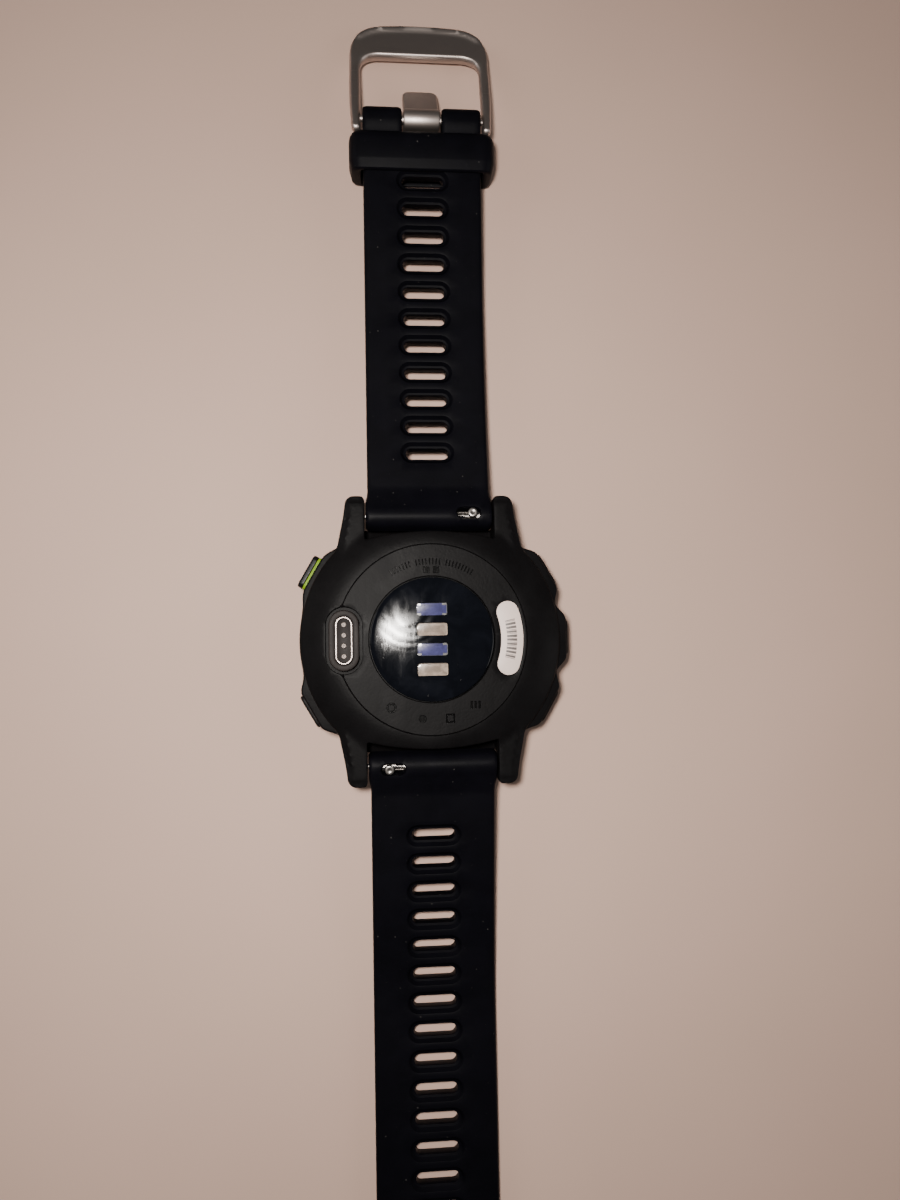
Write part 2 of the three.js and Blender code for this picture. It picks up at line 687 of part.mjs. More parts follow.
function addElectronics() {
  const floor = BEZEL_HEIGHT + 1.15;
  const frame = ring(5, CAVITY_RADIUS - 2.2, floor, floor + 0.5);
  add("inner_frame", frame, displayGrey);
  const cellZ = floor + 0.6;
  const cell = softPrism(roundedBox(BATTERY.x, BATTERY.y, 1.2), cellZ, cellZ + BATTERY.z, 0.3, 1);
  add("battery", cell.translate([0, BATTERY_Y, 0]), cellSilver);
  const boardZ = cellZ + BATTERY.z + 0.25;
  const chip = box(-4, 3, -3, 4, boardZ + BOARD_THICKNESS, boardZ + BOARD_THICKNESS + 0.6);
  const board = prism(bayOutline(-0.4), boardZ, boardZ + BOARD_THICKNESS).add(chip);
  const port = portPlace(prism(stadium(PORT_LENGTH + 2, PORT_WIDTH + 2), boardZ - 1, boardZ + 3));
  add("main_board", board.subtract(port), circuitGreen);
  const motorY = BATTERY_Y - BATTERY.y / 2 - MOTOR_RADIUS - FIT;
  const motorWall = 0.3;
  const shell = disc(MOTOR_RADIUS, cellZ, cellZ + MOTOR_HEIGHT, 24);
  const hollow = disc(MOTOR_RADIUS - motorWall, cellZ + motorWall, cellZ + MOTOR_HEIGHT + 1, 24);
  const axle = disc(0.4, cellZ, cellZ + MOTOR_HEIGHT, 12);
  add("vibration_motor", shell.subtract(hollow).add(axle).translate([0, motorY, 0]), cellSilver);
  const rotor = wallBand(0.7, MOTOR_RADIUS - motorWall - 0.4, 20, 160, cellZ + 0.8, cellZ + 2.2);
  const hub = ring(0.55, 1.1, cellZ + 0.8, cellZ + 2.2, 16);
  add("motor_rotor", rotor.add(hub).translate([0, motorY, 0]), copper);
  const buzzerY = BATTERY_Y + BATTERY.y / 2 + BUZZER_RADIUS + FIT;
  add("buzzer", disc(BUZZER_RADIUS, cellZ, cellZ + 1.4, 24).translate([0, buzzerY, 0]), copper);
  const antennaY = BAY_HALF_Y - 0.25;
  add("gps_antenna", box(-7.5, 7.5, antennaY - 0.35, antennaY, cellZ, cellZ + 3), copper);
  add("button_flex_right", buttonFlex([-30, 0, 30]), copper);
  add("button_flex_left", buttonFlex([150, 210]), copper);
}

// ---------------------------------------------------------------- spring bars

// A coil about X, as a swept tube that starts and ends flat.
function coil(radius, wire, x0, x1, turns) {
  const points = Array.from({ length: turns * 8 + 1 }, (_, i) => {
    const t = i / (turns * 8);
    const a = degrees(i * 45);
    return new THREE.Vector3(x0 + (x1 - x0) * t, radius * Math.cos(a), radius * Math.sin(a));
  });
  const path = new THREE.CatmullRomCurve3(points);
  const section = new THREE.Shape(arc(wire, 0, 270, 3).map(([x, y]) => new THREE.Vector2(x, y)));
  return solid(new THREE.ExtrudeGeometry(section, {
    steps: turns * 8,
    extrudePath: path,
    bevelEnabled: false,
  }));
}

// The bar's own frame: +X is its quick-release end.
function addSpringBar(name, holder) {
  const end = STRAP_WIDTH / 2 - 0.1;
  const tip = HALF_GAP + TIP_REACH;
  const plungerRadius = BAR_RADIUS - 0.35;
  const tube = barX(BAR_RADIUS, -end, end)
    .add(barX(TIP_RADIUS, -tip, -end + 0.2))
    .subtract(barX(plungerRadius + 0.06, BORE_END, end + 1))
    .subtract(box(KNOB_X - KNOB_TRAVEL - 0.75, KNOB_X + 0.75, -0.6, 0.6, 0, 2));
  add(name + "_tube", tube, steel, holder);
  const rod = barX(plungerRadius, KNOB_X - 1.1, end - 0.5).add(barX(TIP_RADIUS, end - 0.7, tip));
  const knob = disc(0.45, 0, BARREL_RADIUS - 0.1, 12).translate([KNOB_X, 0, 0]);
  const head = disc(0.72, BARREL_RADIUS - 0.75, BARREL_RADIUS + 0.1, 12).translate([KNOB_X, 0, 0]);
  add(name + "_plunger", union([rod, knob, head]), steel, holder);
  const springEnd = KNOB_X - 1.1 - KNOB_TRAVEL - 0.15;
  const spring = coil(plungerRadius - 0.14, 0.1, BORE_END + 0.15, springEnd, 4);
  add(name + "_spring", spring, steel, holder);
}

// ---------------------------------------------------------------- straps

// A flat strap body in its own frame: +Y runs outwards from the bar, +Z is the wrist side.
function strapBlank(length, endRound) {
  const half = STRAP_THICKNESS / 2;
  const neck = BARREL_RADIUS * 2.2;
  const steps = 10;
  const barrel = Array.from({ length: steps + 1 }, (_, i) => {
    const a = degrees(55 + (250 * i) / steps);
    return [BARREL_RADIUS * Math.cos(a), BARREL_RADIUS * Math.sin(a)];
  });
  const side = [...barrel, [neck, -half], [length, -half], [length, half], [neck, half]];
  const w = STRAP_WIDTH / 2;
  const plan = rounded([
    [w, -BARREL_RADIUS - 1],
    [w, length, endRound],
    [-w, length, endRound],
    [-w, -BARREL_RADIUS - 1],
  ], 6);
  return across(side, -w, w).intersect(prism(plan, -9, 9));
}

function slotCutter(y) {
  const top = STRAP_THICKNESS / 2;
  const slot = prism(stadium(SLOT_LENGTH, SLOT_WIDTH), -9, 9);
  const lip = stadium(RECESS_LENGTH, RECESS_WIDTH);
  const floor = stadium(RECESS_LENGTH - 0.9, RECESS_WIDTH - 0.9);
  const recess = loft([
    floor.map(([u, v]) => [u, v, top - RECESS_DEPTH]),
    lip.map(([u, v]) => [u, v, top + 0.05]),
  ]);
  return slot.add(recess).translate([0, y, 0]);
}

// The bore of the spring bar and the window of its knob, on the side that knobSide names.
function rootCutter(knobSide) {
  const bore = barX(BORE_RADIUS, -STRAP_WIDTH, STRAP_WIDTH, 16);
  const window = box(KNOB_X - KNOB_TRAVEL - 1.1, KNOB_X + 1.1, -0.95, 0.95, 0, 9);
  return bore.add(knobSide > 0 ? window : window.rotate([0, 0, 180]));
}

// Everything between two places along the strap, with a gap that widens to the wrist side.
function between(from, to, first, last) {
  const lowA = first ? -2 * BARREL_RADIUS : from + FLEX_GAP / 2;
  const lowB = last ? to : to - FLEX_GAP / 2;
  const taperA = first ? 0 : FLEX_TAPER;
  const taperB = last ? 0 : FLEX_TAPER;
  const past = 4; // half thicknesses that the cut runs on for
  const high = (past * STRAP_THICKNESS) / 2;
  return across([
    [lowA, -high],
    [lowB, -high],
    [lowB, 0],
    [lowB - taperB * past, high],
    [lowA + taperA * past, high],
    [lowA, 0],
  ], -STRAP_WIDTH, STRAP_WIDTH);
}

// Slot places, and the flex lines midway between the slots that end one segment and start the next.
function strapPlan(firstSlot, segments) {
  const count = segments.reduce((sum, segment) => sum + segment.slots, 0);
  const slots = Array.from({ length: count }, (_, i) => firstSlot + i * SLOT_PITCH);
  const lines = [];
  let used = 0;
  for (const segment of segments.slice(0, -1)) {
    used += segment.slots;
    lines.push(firstSlot + (used - 0.5) * SLOT_PITCH);
  }
  return { slots, lines };
}

// Hangs the segments from each other, each turned to its slope at rest, and returns their frames.
function addStrap(name, blank, plan, segments, root) {
  const ends = [0, ...plan.lines, Infinity];
  const body = blank.subtract(union(plan.slots.map(slotCutter)));
  let parent = root;
  let slope = 0;
  return segments.map((segment, i) => {
    const start = ends[i];
    const joint = group(parent, 0, i === 0 ? 0 : start - ends[i - 1], 0);
    joint.rotation.x = degrees(segment.slope - slope);
    slope = segment.slope;
    parent = joint;
    const last = i === segments.length - 1;
    const stop = last ? 200 : ends[i + 1];
    const piece = body.intersect(between(start, stop, i === 0, last)).translate([0, -start, 0]);
    add(name + "_" + (i + 1), piece, silicone, joint);
    return { joint, start };
  });
}

// The buckle end: two knuckles round the pin with the tongue's gap between them.
function shortBlank() {
  const half = STRAP_THICKNESS / 2;
  const steps = 8;
  const knuckle = Array.from({ length: steps + 1 }, (_, i) => {
    const a = degrees(-140 + (280 * i) / steps);
    return [SHORT_PIN + KNUCKLE_RADIUS * Math.cos(a), KNUCKLE_RADIUS * Math.sin(a)];
  });
  const w = STRAP_WIDTH / 2;
  const end = across([[SHORT_PIN - 5, -half], ...knuckle, [SHORT_PIN - 5, half]], -w, w);
  const gap = TONGUE_WIDTH / 2 + FIT;
  const notch = box(-gap, gap, SHORT_PIN - KNUCKLE_RADIUS - 1.2, SHORT_PIN + 9, -9, 9);
  const bore = barX(PIN_RADIUS + SLIP, -STRAP_WIDTH, STRAP_WIDTH, 16).translate([0, SHORT_PIN, 0]);
  const plate = strapBlank(SHORT_PIN - 4, 0);
  return plate.add(end).subtract(notch).subtract(bore).subtract(rootCutter(1));
}

function keeper() {
  const inX = STRAP_WIDTH / 2 + FIT;
  const outX = inX + KEEPER_SIDE_WALL;
  const top = STRAP_THICKNESS / 2 + 0.12;
  const inner = roundedBox(2 * inX, KEEPER_LAYERS, 0.6);
  const outer = roundedBox(2 * outX, KEEPER_LAYERS + 2 * KEEPER_WALL, 2.4);
  const half = KEEPER_LENGTH / 2;
  const shell = softPrism(outer, -half, half, 0.5).subtract(prism(inner, -half - 1, half + 1));
  return shell.rotate([90, 0, 0]).translate([0, 0, top - KEEPER_LAYERS / 2]);
}

function buckleFrame() {
  const inner = STRAP_WIDTH / 2 + FIT;
  const nearOut = inner + ARM_THICKNESS;
  const farOut = nearOut + FRAME_FLARE;
  const heel = -2.0;
  const barInner = FRAME_REACH - FRAME_BAR;
  const outline = rounded([
    [nearOut, heel, 1.2],
    [farOut, FRAME_REACH - 3, 3],
    [farOut - 0.6, FRAME_REACH - 0.4, 2.6],
    [0, FRAME_REACH + 0.3, 9],
    [-farOut + 0.6, FRAME_REACH - 0.4, 2.6],
    [-farOut, FRAME_REACH - 3, 3],
    [-nearOut, heel, 1.2],
    [-inner, heel, 0.5],
    [-inner, barInner, 2.4],
    [inner, barInner, 2.4],
    [inner, heel, 0.5],
  ], 4);
  const body = softPrism(outline, -ARM_DEPTH / 2, ARM_DEPTH / 2, 0.3);
  return body.subtract(barX(PIN_RADIUS - 0.15, -farOut + 0.5, farOut - 0.5, 12));
}

function buckleTongue() {
  const w = TONGUE_WIDTH / 2;
  const inside = PIN_RADIUS + SLIP;
  const outside = inside + 0.85;
  const steps = 12;
  const wrap = arc(outside, 40, 320, steps);
  const half = TONGUE_THICKNESS / 2;
  const profile = [
    ...wrap,
    [TONGUE_LENGTH - 0.6, -half],
    [TONGUE_LENGTH, -half + 0.35],
    [TONGUE_LENGTH, half - 0.35],
    [TONGUE_LENGTH - 0.6, half],
  ];
  const plan = rounded([[w, -9], [w, TONGUE_LENGTH, 1.2], [-w, TONGUE_LENGTH, 1.2], [-w, -9]]);
  const body = across(profile, -w, w).intersect(prism(plan, -5, 5));
  return body.subtract(barX(inside, -w - 1, w + 1, 16));
}

function addBuckle(end) {
  const reach = STRAP_WIDTH / 2 + FIT + ARM_THICKNESS - 0.6;
  const thin = PIN_RADIUS - 0.25;
  const shoulder = STRAP_WIDTH / 2 + 0.1;
  const pin = barX(PIN_RADIUS, -shoulder, shoulder).add(barX(thin, -reach, reach));
  add("buckle_pin", pin, steel, end);
  const frame = group(end, 0, 0, 0);
  frame.rotation.x = degrees(FRAME_DROOP - SHORT_SEGMENTS.at(-1).slope);
  add("buckle_frame", buckleFrame(), steel, frame);
  const tongue = group(end, 0, 0, 0);
  tongue.rotation.x = degrees(TONGUE_DROOP - SHORT_SEGMENTS.at(-1).slope);
  add("buckle_tongue", buckleTongue(), steel, tongue);
}

function addShortStrap() {
  const root = group(watch, 0, BAR_Y, BAR_Z);
  const plan = strapPlan(SHORT_FIRST_SLOT, SHORT_SEGMENTS);
  const frames = addStrap("strap_short", shortBlank(), plan, SHORT_SEGMENTS, root);
  addSpringBar("bar_short", frames[0].joint);
  const last = frames.at(-1);
  const sleeve = group(last.joint, 0, KEEPER_AT - last.start, 0);
  add("strap_keeper", keeper(), silicone, sleeve);
  addBuckle(group(last.joint, 0, SHORT_PIN - last.start, 0));
}

function addLongStrap() {
  const root = group(watch, 0, -BAR_Y, BAR_Z);
  root.rotation.z = Math.PI;
  const plan = strapPlan(LONG_FIRST_SLOT, LONG_SEGMENTS);
  const length = plan.slots.at(-1) + LONG_TAIL;
  const blank = strapBlank(length, STRAP_WIDTH * 0.48).subtract(rootCutter(1));
  const frames = addStrap("strap_long", blank, plan, LONG_SEGMENTS, root);
  addSpringBar("bar_long", frames[0].joint);
}

// ---------------------------------------------------------------- the whole watch

addCase();
addGlass();
addSensor();
addPort();
BUTTONS.forEach(addButton);
addElectronics();
addShortStrap();
addLongStrap();

export default watch;
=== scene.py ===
"""The looks of a gps running watch that lies on its glass with its strap laid open.

Joints, chips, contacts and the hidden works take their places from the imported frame. The outer
shapes are worked out here in millimetres, to the same sizes, and built in metres.
"""

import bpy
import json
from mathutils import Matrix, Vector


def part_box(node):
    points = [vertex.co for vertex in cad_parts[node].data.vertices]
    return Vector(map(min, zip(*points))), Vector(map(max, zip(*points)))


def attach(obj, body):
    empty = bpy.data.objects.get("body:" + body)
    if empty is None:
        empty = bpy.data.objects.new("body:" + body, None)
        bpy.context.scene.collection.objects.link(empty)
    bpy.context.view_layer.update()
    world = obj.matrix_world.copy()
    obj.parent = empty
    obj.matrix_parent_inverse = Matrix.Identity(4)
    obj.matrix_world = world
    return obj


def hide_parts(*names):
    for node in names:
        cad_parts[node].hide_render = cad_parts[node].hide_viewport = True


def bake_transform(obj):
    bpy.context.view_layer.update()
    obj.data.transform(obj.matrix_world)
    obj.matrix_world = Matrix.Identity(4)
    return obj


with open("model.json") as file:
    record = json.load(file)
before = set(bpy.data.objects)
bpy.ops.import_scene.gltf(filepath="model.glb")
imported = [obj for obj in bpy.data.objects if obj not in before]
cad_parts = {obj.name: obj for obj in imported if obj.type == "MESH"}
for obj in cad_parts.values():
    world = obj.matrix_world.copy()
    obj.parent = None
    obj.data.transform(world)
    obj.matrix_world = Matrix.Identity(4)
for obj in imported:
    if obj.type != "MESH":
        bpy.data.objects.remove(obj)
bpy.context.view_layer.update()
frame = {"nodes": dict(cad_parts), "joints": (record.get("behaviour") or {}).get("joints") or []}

import json
import math

import bmesh
import bpy
import numpy as np
from bpy.props import FloatProperty, FloatVectorProperty, IntProperty, PointerProperty
from mathutils import Matrix, Vector
from mathutils.geometry import delaunay_2d_cdt

bl_info = {
    "name": "Running Watch Looks",
    "version": (1, 0, 0),
    "blender": (4, 5, 0),
    "location": "3D Viewport > Sidebar > Watch",
    "description": "Builds the finished surfaces of a gps running watch round its packed frame",
    "category": "Object",
}

MM = 0.001
JOINTS = {joint["name"]: joint for joint in frame["joints"]}


def node_box(name):
    """Lowest and highest corner of a frame node, in millimetres."""
    low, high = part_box(name)
    return low / MM, high / MM


def joint_place(name):
    """(y, z) of a joint in millimetres, on the side of +Y."""
    place = JOINTS[name]["pos_m"]
    return abs(place[1]) / MM, place[2] / MM


# ------------------------------------------------------------------ sizes and colours


def millimetres(label, description, default, low=0.0, high=50.0):
    """A size that a user can change, in millimetres."""
    return FloatProperty(
        name=label, description=description, default=default, min=low, max=high
    )


def colour(label, description, default):
    """A base colour that a user can change."""
    return FloatVectorProperty(
        name=label,
        description=description,
        default=default,
        size=3,
        min=0.0,
        max=1.0,
        subtype="COLOR",
    )


class WatchCaseSizes(bpy.types.PropertyGroup):
    """Edge and surface sizes of the case, in millimetres."""

    edge_round: millimetres("Edge round", "Rounding of the shells' edges", 0.3, 0.05, 0.5)
    shoulder_drop: millimetres("Shoulder drop", "Fall of the back to the case edge", 1.85)
    lug_droop: millimetres("Lug droop", "Fall of a lug's back towards its tip", 0.55)
    dome_rise: millimetres("Dome rise", "Rise of the sensor window over its rim", 0.65)
    grid: millimetres("Grid", "Spacing of points on the back", 0.55, 0.2, 3.0)
    segments: IntProperty(
        name="Segments", description="Sides of each round form", default=160, min=32, max=512
    )


class WatchStrapSizes(bpy.types.PropertyGroup):
    """Sizes of the two straps, in millimetres."""

    edge_round: millimetres("Edge round", "Rounding of the strap's long edges", 0.6, 0.1, 1.2)
    bend_reach: millimetres("Bend reach", "Length over which each bend is spread", 8.0, 2.0, 8.8)
    slot_round: millimetres("Slot round", "Rounding of the slots' lips", 0.16, 0.02, 0.4)
    grid: millimetres("Grid", "Spacing of points on the strap", 1.5, 0.4, 4.0)


class WatchColours(bpy.types.PropertyGroup):
    """Base colours of the watch's materials."""

    polymer: colour("Polymer", "Matte case shells", (0.0036, 0.0033, 0.0036))
    silicone: colour("Silicone", "Strap and keeper", (0.0019, 0.0018, 0.0030))
    button: colour("Button", "Button caps", (0.0045, 0.0042, 0.0046))
    lime: colour("Lime", "Collar of the start button", (0.15, 0.26, 0.006))
    steel: colour("Steel", "Buckle and its tongue", (0.43, 0.375, 0.35))
    bar: colour("Bar", "Spring bars", (0.30, 0.28, 0.265))
    port: colour("Port", "Plated rim and contacts", (0.33, 0.28, 0.26))
    window: colour("Window", "Dark sensor window", (0.0022, 0.0026, 0.004))
    glass: colour("Glass", "Display glass", (0.006, 0.006, 0.008))
    label: colour("Label", "Printed label film", (0.68, 0.55, 0.50))
    emitter: colour("Emitter", "Light emitter windows", (0.66, 0.52, 0.42))
    diode: colour("Diode", "Photodiode glass", (0.10, 0.10, 0.30))
    floor: colour("Floor", "Table top", (0.52, 0.36, 0.295))


class WatchStage(bpy.types.PropertyGroup):
    """Light and camera settings."""

    flash: FloatProperty(
        name="Flash", description="Light beside the camera", default=0.48, unit="POWER"
    )
    fill: FloatProperty(name="Fill", description="Broad soft light", default=1.4, unit="POWER")
    sky: FloatProperty(name="Sky", description="Even light all round", default=0.06)
    lens: FloatProperty(
        name="Lens", description="Focal length on a 36 mm sensor", default=27.03, unit="CAMERA"
    )


# ------------------------------------------------------------------ shader maths


class Value:
    """A number socket of a node tree, so that shader maths reads as arithmetic."""

    def __init__(self, finish, socket):
        self.finish = finish
        self.socket = socket

    def math(self, operation, *others, clamp=False):
        settings = {"operation": operation, "use_clamp": clamp}
        return self.finish.value("ShaderNodeMath", settings, dict(enumerate((self, *others))))

    def __add__(self, other):
        return self.math("ADD", other)

    def __radd__(self, other):
        return self.math("ADD", other)

    def __sub__(self, other):
        return self.math("SUBTRACT", other)

    def __rsub__(self, other):
        return (self * -1) + other

    def __mul__(self, other):
        return self.math("MULTIPLY", other)

    def __rmul__(self, other):
        return self.math("MULTIPLY", other)

    def __truediv__(self, other):
        return self.math("DIVIDE", other)

    def __abs__(self):
        return self.math("ABSOLUTE")

    def clamped(self):
        return self.math("ADD", 0.0, clamp=True)

    def ease(self, low, high):
        """0 below low, 1 above high and smooth between them; low above high turns it round."""
        turned = low > high
        settings = {"interpolation_type": "SMOOTHSTEP"}
        limits = {"From Min": min(low, high), "From Max": max(low, high)}
        ends = {"To Min": 1.0, "To Max": 0.0} if turned else {"To Min": 0.0, "To Max": 1.0}
        sockets = {"Value": self, **limits, **ends}
        return self.finish.value("ShaderNodeMapRange", settings, sockets)


class Finish:
    """A material under construction, with one principled shader."""

    def __init__(self, name):
        self.material = bpy.data.materials.new(name)
        self.material.use_nodes = True
        self.tree = self.material.node_tree
        self.tree.nodes.clear()
        self.shader = self.tree.nodes.new("ShaderNodeBsdfPrincipled")
        output = self.tree.nodes.new("ShaderNodeOutputMaterial")
        self.tree.links.new(self.shader.outputs[0], output.inputs["Surface"])
        self.tags = {}

    def node(self, kind, settings=None, sockets=None):
        """Adds a node: its settings first, then the values or links of its sockets."""
        made = self.tree.nodes.new(kind)
        for key, setting in (settings or {}).items():
            setattr(made, key, setting)
        for key, given in (sockets or {}).items():
            self.feed(made.inputs[key], given)
        return made

    def feed(self, socket, given):
        """Links or sets a socket, whichever the given thing allows."""
        if isinstance(given, Value):
            self.tree.links.new(given.socket, socket)
        elif isinstance(given, bpy.types.NodeSocket):
            self.tree.links.new(given, socket)
        elif hasattr(given, "__len__") and len(given) == 3 and socket.type == "RGBA":
            socket.default_value = (*given, 1.0)
        else:
            socket.default_value = given

    def value(self, kind, settings, sockets, output=0):
        """Adds a node and gives one of its outputs as a number for shader maths."""
        return Value(self, self.node(kind, settings, sockets).outputs[output])

    def vector(self, operation, first, second=None, scale=None):
        """Adds a vector operation and gives its result."""
        sockets = {0: first}
        if second is not None:
            sockets[1] = second
        if scale is not None:
            sockets["Scale"] = scale
        return self.node("ShaderNodeVectorMath", {"operation": operation}, sockets).outputs[0]

    def place(self):
        """Place on the piece in millimetres."""
        if "place" not in self.tags:
            coordinates = self.node("ShaderNodeTexCoord").outputs["Object"]
            self.tags["place"] = self.vector("SCALE", coordinates, scale=1 / MM)
        return self.tags["place"]

    def axes(self):
        """x, y and z of the place."""
        if "axes" not in self.tags:
            split = self.node("ShaderNodeSeparateXYZ", None, {0: self.place()})
            self.tags["axes"] = [Value(self, socket) for socket in split.outputs]
        return self.tags["axes"]

    def noise(self, scale, detail=2.0, roughness=0.5, stretch=None, distortion=0.0):
        """Smooth noise from 0 to 1; scale is in cycles for each millimetre."""
        place = self.place()
        if stretch is not None:
            place = self.vector("MULTIPLY", place, stretch)
        sockets = {
            "Vector": place,
            "Scale": scale,
            "Detail": detail,
            "Roughness": roughness,
            "Distortion": distortion,
        }
        return self.value("ShaderNodeTexNoise", None, sockets)

    def cells(self, scale, randomness=1.0):
        """Distance to the nearest of scattered points, in cells."""
        sockets = {"Vector": self.place(), "Scale": scale, "Randomness": randomness}
        return self.value("ShaderNodeTexVoronoi", None, sockets)

    def mix(self, factor, first, second):
        """A colour between two colours."""
        made = self.node("ShaderNodeMix", {"data_type": "RGBA"})
        self.feed(made.inputs[0], factor)
        self.feed(made.inputs[6], first)
        self.feed(made.inputs[7], second)
        return made.outputs[2]

    def bump(self, height, depth, normal=None):
        """Normals of a height from 0 to 1 that stands depth millimetres."""
        sockets = {"Strength": 1.0, "Distance": depth * MM, "Height": height}
        if normal is not None:
            sockets["Normal"] = normal
        return self.node("ShaderNodeBump", None, sockets).outputs[0]

    def shade(self, **sockets):
        """Sets the shader's sockets; an underscore in a name stands for a space."""
        for name, given in sockets.items():
            self.feed(self.shader.inputs[name.replace("_", " ")], given)
        return self


def scaled(shade, factor):
    """A colour made darker or lighter."""
    return tuple(min(1.0, c * factor) for c in shade)


def moulded(name, shade, rough, grain, depth, specular=0.5, dust=0.0):
    """Moulded plastic or rubber: grain, uneven gloss, mottling, handling marks and dust."""
    finish = Finish(name)
    fine = finish.noise(grain, 3.0, 0.6)
    pits = finish.cells(grain * 0.45).ease(0.05, 0.75)
    mottle = finish.noise(0.22, 3.0, 0.55, distortion=0.4)
    handled = finish.noise(0.07, 4.0, 0.6, distortion=0.8).ease(0.42, 0.68)
    scuff = finish.noise(0.9, 4.0, 0.7, stretch=(1.0, 0.14, 1.0)).ease(0.66, 0.74)
    base = finish.mix(mottle.ease(0.3, 0.72), scaled(shade, 0.82), scaled(shade, 1.2))
    base = finish.mix(pits * 0.25, base, scaled(shade, 1.6))
    base = finish.mix(scuff * 0.16, base, scaled(shade, 3.0))
    gloss = rough + (fine - 0.5) * 0.12 - handled * 0.08 + scuff * 0.06
    if dust:
        speck = finish.cells(0.62).ease(0.085, 0.045) * finish.noise(0.33, 1.0).ease(0.5, 0.62)
        lint = finish.cells(1.7).ease(0.07, 0.03) * finish.noise(0.8, 1.0).ease(0.55, 0.65)
        marks = ((speck + lint) * dust).clamped()
        base = finish.mix(marks, base, (0.16, 0.15, 0.14))
        gloss = gloss + marks * 0.25
    relief = fine * 0.6 + pits * 0.4
    normal = finish.bump(relief, depth)
    normal = finish.bump(mottle, depth * 4, normal)
    return finish.shade(
        Base_Color=base,
        Roughness=gloss.clamped(),
        Normal=normal,
        Specular_IOR_Level=specular,
    )


def metal(name, shade, rough, grain, depth, brushed=None, tarnish=0.25):
    """Worked metal: blasted or brushed grain, handling haze and hairline scratches."""
    finish = Finish(name)
    fine = finish.noise(grain, 3.0, 0.6, stretch=brushed)
    haze = finish.noise(0.3, 4.0, 0.6, distortion=0.5)
    hairs = finish.noise(1.4, 3.0, 0.6, stretch=(0.08, 1.3, 1.0)).ease(0.63, 0.70)
    nicks = finish.cells(1.1).ease(0.07, 0.035) * finish.noise(0.5).ease(0.5, 0.6)
    base = finish.mix(haze.ease(0.35, 0.7) * tarnish, shade, scaled(shade, 0.72))
    base = finish.mix((hairs * 0.35 + nicks * 0.6).clamped(), base, scaled(shade, 1.45))
    gloss = rough + (fine - 0.5) * 0.14 + haze * 0.08 - hairs * 0.1
    normal = finish.bump(fine, depth)
    normal = finish.bump(hairs + nicks, depth * 0.8, normal)
    return finish.shade(
        Base_Color=base, Metallic=1.0, Roughness=gloss.clamped(), Normal=normal
    )


def box_mask(across, along, half_across, half_along):
    """1 inside a box round the origin of two values."""
    soft = 0.06
    inside = abs(across).ease(half_across, half_across - soft)
    return inside * abs(along).ease(half_along, half_along - soft)


def round_box_mask(across, along, half_across, half_along, size):
    """1 inside a box with rounded corners round the origin of two values."""
    dx = (abs(across) - (half_across - size)).math("MAXIMUM", 0.0)
    dy = (abs(along) - (half_along - size)).math("MAXIMUM", 0.0)
    return (dx * dx + dy * dy).math("SQRT").ease(size, size - 0.08)


def ring_mask(distance, inner, outer, soft=0.06):
    """1 between two distances."""
    return distance.ease(inner - soft, inner) * distance.ease(outer, outer - soft)


def distance_from(finish, x, y):
    """Distance in the plane from a point."""
    px, py, _ = finish.axes()
    dx, dy = px - x, py - y
    return (dx * dx + dy * dy).math("SQRT")


def stripes(across, cycles, outer, inner):
    """Even stripes: 1 up to inner from the middle of each cycle, 0 from outer on."""
    return ((across * cycles).math("FRACT") - 0.5).math("ABSOLUTE").ease(outer, inner)


def back_finish(shade):
    """The back shell's polymer, with generic marks engraved on the raised disc."""
    finish = moulded("case_back_polymer", shade, 0.45, 5.5, 0.010, specular=0.055)
    x, y, z = finish.axes()
    radius = distance_from(finish, 0.0, 0.0)
    turn = x.math("ARCTAN2", y) * (180 / math.pi)
    ticks = stripes(turn, 0.4, 0.2, 0.14)
    words = ticks * ring_mask(radius, 11.75, 12.65) * abs(turn).ease(33, 32.5)
    words = words * (1 - abs(turn - 9).ease(2.2, 1.6)) * (1 - abs(turn + 13).ease(2.0, 1.4))
    drop = distance_from(finish, -6.5, -10.5)
    round_mark = ring_mask(drop, 0.5, 0.8)
    dot = distance_from(finish, -1.7, -12.3).ease(0.62, 0.54)
    square = box_mask(x - 2.6, y + 12.3, 0.72, 0.72) - box_mask(x - 2.6, y + 12.3, 0.5, 0.5)
    stripe = stripes(x, 1.6, 0.3, 0.24)
    bars = box_mask(x - 6.5, y + 10.3, 0.95, 0.6) * stripe
    second = box_mask(abs(x) - 0.75, y - 10.85, 0.5, 0.55)
    marks = (words + second + round_mark + dot + square + bars).clamped() * z.ease(10.6, 10.8)
    base = finish.shader.inputs["Base Color"].links[0].from_socket
    gloss = Value(finish, finish.shader.inputs["Roughness"].links[0].from_socket)
    normal = finish.shader.inputs["Normal"].links[0].from_socket
    return finish.shade(
        Base_Color=finish.mix(marks * 0.85, base, scaled(shade, 0.3)),
        Roughness=(gloss - marks * 0.18).clamped(),
        Normal=finish.bump(1 - marks, 0.06, normal),
    )


